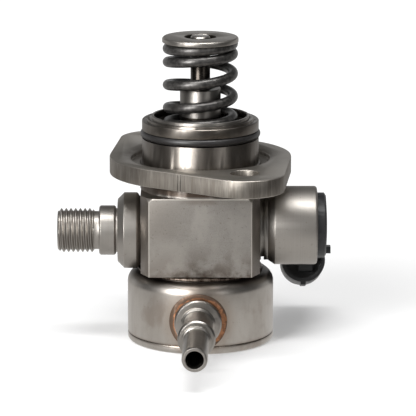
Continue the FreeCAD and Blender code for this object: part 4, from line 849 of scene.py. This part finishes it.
class PUMP_OT_spring(bpy.types.Operator):
    """Winds the return spring, with closed and ground ends"""
    bl_idname = "pump.spring"
    bl_label = "Return Spring"

    def execute(self, context):
        sizes = context.scene.pump_sizes
        points = helix_points(sizes)
        line = bpy.data.meshes.new("spring_line")
        line.from_pydata(points, [(i, i + 1) for i in range(len(points) - 1)], [])
        obj = bpy.data.objects.new("return_spring_dressed", line)
        context.scene.collection.objects.link(obj)
        finish = spring_finish(context.scene.pump_colours)
        tree, radius, sides = wire_tree(finish)
        modifier = obj.modifiers.new("Wire", "NODES")
        modifier.node_group = tree
        modifier[radius] = sizes.wire
        modifier[sides] = 28
        settle(obj, [])
        work = bmesh.new()
        work.from_mesh(obj.data)
        flat_end(work, sizes.coil_high, True)
        flat_end(work, sizes.coil_low, False)
        bmesh.ops.recalc_face_normals(work, faces=work.faces)
        work.to_mesh(obj.data)
        work.free()
        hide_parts("return_spring")
        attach(obj, "housing")
        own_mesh(obj)
        return {"FINISHED"}


class PUMP_OT_inner(bpy.types.Operator):
    """Gives the inner pieces their finishes"""
    bl_idname = "pump.inner"
    bl_label = "Inner Pieces"

    def execute(self, context):
        colours = context.scene.pump_colours
        steel = plain("inner_steel", mixed(tuple(colours.steel), 1.2), 1.0, 0.3)
        iron = plain("magnet_iron", (0.30, 0.29, 0.28), 1.0, 0.45)
        wire = plain("fine_wire", (0.45, 0.44, 0.42), 1.0, 0.28)
        seal = plain("seal_rubber", (0.03, 0.025, 0.022), 0.0, 0.5)
        nylon = plain("bobbin_plastic", (0.05, 0.05, 0.055), 0.0, 0.5)
        mesh = plain("strainer_plastic", (0.45, 0.40, 0.30), 0.0, 0.6)
        copper = plain("winding_copper", (0.55, 0.22, 0.09), 1.0, 0.35)
        tin = plain("terminal_tin", (0.66, 0.63, 0.58), 1.0, 0.3)
        finishes = {
            steel: ("cylinder_barrel", "outlet_valve_seat", "outlet_valve_ball", "outlet_valve_stop",
                    "inlet_valve_disc", "inlet_valve_stop", "guide_tube", "damper_diaphragm_upper",
                    "damper_diaphragm_lower", "damper_support_upper", "damper_support_lower"),
            iron: ("armature", "magnet_core"),
            wire: ("outlet_valve_spring", "inlet_valve_spring", "armature_spring"),
            seal: ("plunger_seal",),
            nylon: ("coil_bobbin",),
            mesh: ("inlet_filter",),
            copper: ("coil_winding",),
            tin: ("terminal_left", "terminal_right"),
        }
        for material, nodes in finishes.items():
            for name in nodes:
                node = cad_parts[name]
                node.data.materials.clear()
                node.data.materials.append(material)
        return {"FINISHED"}


class PUMP_OT_stage(bpy.types.Operator):
    """Sets the white table, the lamps, the world and the camera"""
    bl_idname = "pump.stage"
    bl_label = "Studio"

    def execute(self, context):
        scene = context.scene
        scene.view_settings.view_transform = "Standard"
        self.floor(scene)
        self.world(scene)
        self.lamp(scene, "key_lamp", (-0.46, -0.60, 0.30), (0, 0, -0.01), (0.30, 0.60), 8.0)
        self.lamp(scene, "top_lamp", (0.0, -0.20, 0.72), (0, 0, -0.02), (0.7, 0.16), 4.5)
        self.lamp(scene, "fill_lamp", (0.42, -0.66, 0.22), (0, 0, -0.02), (0.22, 0.5), 0.5)
        self.camera(scene)
        return {"FINISHED"}

    def floor(self, scene):
        """A white table that keeps the shadow.

        In the metal it is bright near the pump, to its left, on a card before the block and dimly behind.
        """
        reach = 6.0
        low = BASE_LOW * MM
        mesh = bpy.data.meshes.new("table")
        corners = [(-reach, -reach, low), (reach, -reach, low), (reach, reach, low), (-reach, reach, low)]
        mesh.from_pydata(corners, [], [(0, 1, 2, 3)])
        obj = bpy.data.objects.new("table", mesh)
        scene.collection.objects.link(obj)
        f = Finish("white_table", (0.86, 0.86, 0.86), 0.0, 0.6)
        f.shader.inputs["Specular IOR Level"].default_value = 0.0
        x, y, z = f.axes()
        away = f.length(x, y)
        rays = f.add("ShaderNodeLightPath", {}, {}).socket.node.outputs
        camera = Amount(f, rays["Is Camera Ray"])
        through = Amount(f, rays["Is Transmission Ray"])
        glossy = Amount(f, rays["Is Glossy Ray"])
        white = f.add("ShaderNodeEmission", {}, {"Color": (1, 1, 1, 1), "Strength": 1.12})
        seen = (camera + through) * (0.25 + away.between(70, 190) * 0.75)
        shaded = Amount(f, f.shader.outputs[0])
        plain_table = f.add("ShaderNodeMixShader", {}, {0: seen, 1: shaded, 2: white})
        near = 1 - away.between(60, 240)
        behind = (y / away).between(-0.1, 0.5) * 0.5
        panel = f.sector(x, y, turn=36, wide=20, soft=0.03) * away.between(120, 200)
        card = x.band(-20.0, 22.0, 6.0) * y.band(-230.0, -95.0, 15.0)
        level = 0.10 + (near * 0.72).larger(behind * 0.9) + panel * 1.3 + card * 0.32
        warm_white = (1.0, 0.985, 0.965, 1)
        mirrored = f.add("ShaderNodeEmission", {}, {"Color": warm_white, "Strength": level})
        mix = f.add("ShaderNodeMixShader", {}, {0: glossy, 1: plain_table, 2: mirrored})
        f.tree.links.new(mix.socket, f.tree.nodes["Material Output"].inputs["Surface"])
        mesh.materials.append(f.material)

    def world(self, scene):
        """White to the camera. The metal sees a dark room, pale low down behind the pump, and soft boxes.

        One soft box is above and one to the left.
        """
        world = bpy.data.worlds.new("studio")
        scene.world = world
        world.use_nodes = True
        world.node_tree.nodes.clear()
        t = Nodes(world.node_tree)
        x, y, z = t.split(t.add("ShaderNodeTexCoord", {}, {}, "Generated"))
        behind = y.between(0.15, 0.6) * (0.04 + 0.66 * (1 - z.between(0.24, 0.36)))
        above = z.between(0.76, 0.88) * (1 - y.between(0.1, 0.4))
        panel = t.sector(x, y, turn=36, wide=20, soft=0.03) * (1 - z.between(0.45, 0.6))
        level = 0.10 + behind * 0.85 + above + panel * 1.3
        rays = t.add("ShaderNodeLightPath", {}, {}).socket.node.outputs
        straight = Amount(t, rays["Is Camera Ray"]).larger(Amount(t, rays["Is Transmission Ray"]))
        light = t.add("ShaderNodeBackground", {}, {"Strength": level * (1 - straight) + straight})
        end = t.tree.nodes.new("ShaderNodeOutputWorld")
        t.tree.links.new(light.socket, end.inputs["Surface"])

    def lamp(self, scene, name, place, target, size, power):
        """A rectangular lamp that faces a target, with places and size in metres."""
        data = bpy.data.lights.new(name, "AREA")
        data.shape = "RECTANGLE"
        data.size, data.size_y = size
        data.energy = power
        obj = bpy.data.objects.new(name, data)
        scene.collection.objects.link(obj)
        obj.location = place
        away = Vector(place) - Vector(target)
        obj.rotation_euler = away.to_track_quat("Z", "Y").to_euler()

    def camera(self, scene):
        """The photo's view: level with the pump axis, 12.5 degrees above the horizontal."""
        lift = math.radians(12.5)
        back = Vector((0, -math.cos(lift), math.sin(lift)))
        upward = Vector((0, math.sin(lift), math.cos(lift)))
        aim = Vector((2.417, 0, -11.5)) * MM - upward * 5.723 * MM
        data = bpy.data.cameras.new("photo_camera")
        data.sensor_width = 36.0
        data.lens = 272.16
        data.clip_start = 0.05
        data.clip_end = 50.0
        obj = bpy.data.objects.new("photo_camera", data)
        scene.collection.objects.link(obj)
        obj.location = aim + back * 1.0
        obj.rotation_euler = back.to_track_quat("Z", "Y").to_euler()
        scene.camera = obj


class PUMP_PT_panel(bpy.types.Panel):
    """Lists the pump's pieces"""
    bl_label = "Fuel Pump"
    bl_idname = "PUMP_PT_panel"
    bl_space_type = "VIEW_3D"
    bl_region_type = "UI"
    bl_category = "Fuel Pump"

    def draw(self, context):
        scene = context.scene
        for group in (scene.pump_sizes, scene.pump_colours):
            for name in group.__annotations__:
                self.layout.prop(group, name)
        for operator in OPERATORS:
            self.layout.operator(operator.bl_idname)


OPERATORS = (PUMP_OT_body, PUMP_OT_flange, PUMP_OT_damper, PUMP_OT_inlet, PUMP_OT_outlet, PUMP_OT_solenoid,
             PUMP_OT_plunger, PUMP_OT_spring, PUMP_OT_inner, PUMP_OT_stage)
CLASSES = (PumpSizes, PumpColours, *OPERATORS, PUMP_PT_panel)


def register():
    for cls in CLASSES:
        bpy.utils.register_class(cls)
    bpy.types.Scene.pump_sizes = PointerProperty(type=PumpSizes)
    bpy.types.Scene.pump_colours = PointerProperty(type=PumpColours)


def unregister():
    del bpy.types.Scene.pump_colours
    del bpy.types.Scene.pump_sizes
    for cls in reversed(CLASSES):
        bpy.utils.unregister_class(cls)


def main():
    register()
    bpy.ops.pump.body()
    bpy.ops.pump.flange()
    bpy.ops.pump.damper()
    bpy.ops.pump.inlet()
    bpy.ops.pump.outlet()
    bpy.ops.pump.solenoid()
    bpy.ops.pump.plunger()
    bpy.ops.pump.spring()
    bpy.ops.pump.inner()
    bpy.ops.pump.stage()


if __name__ == "__main__":
    main()
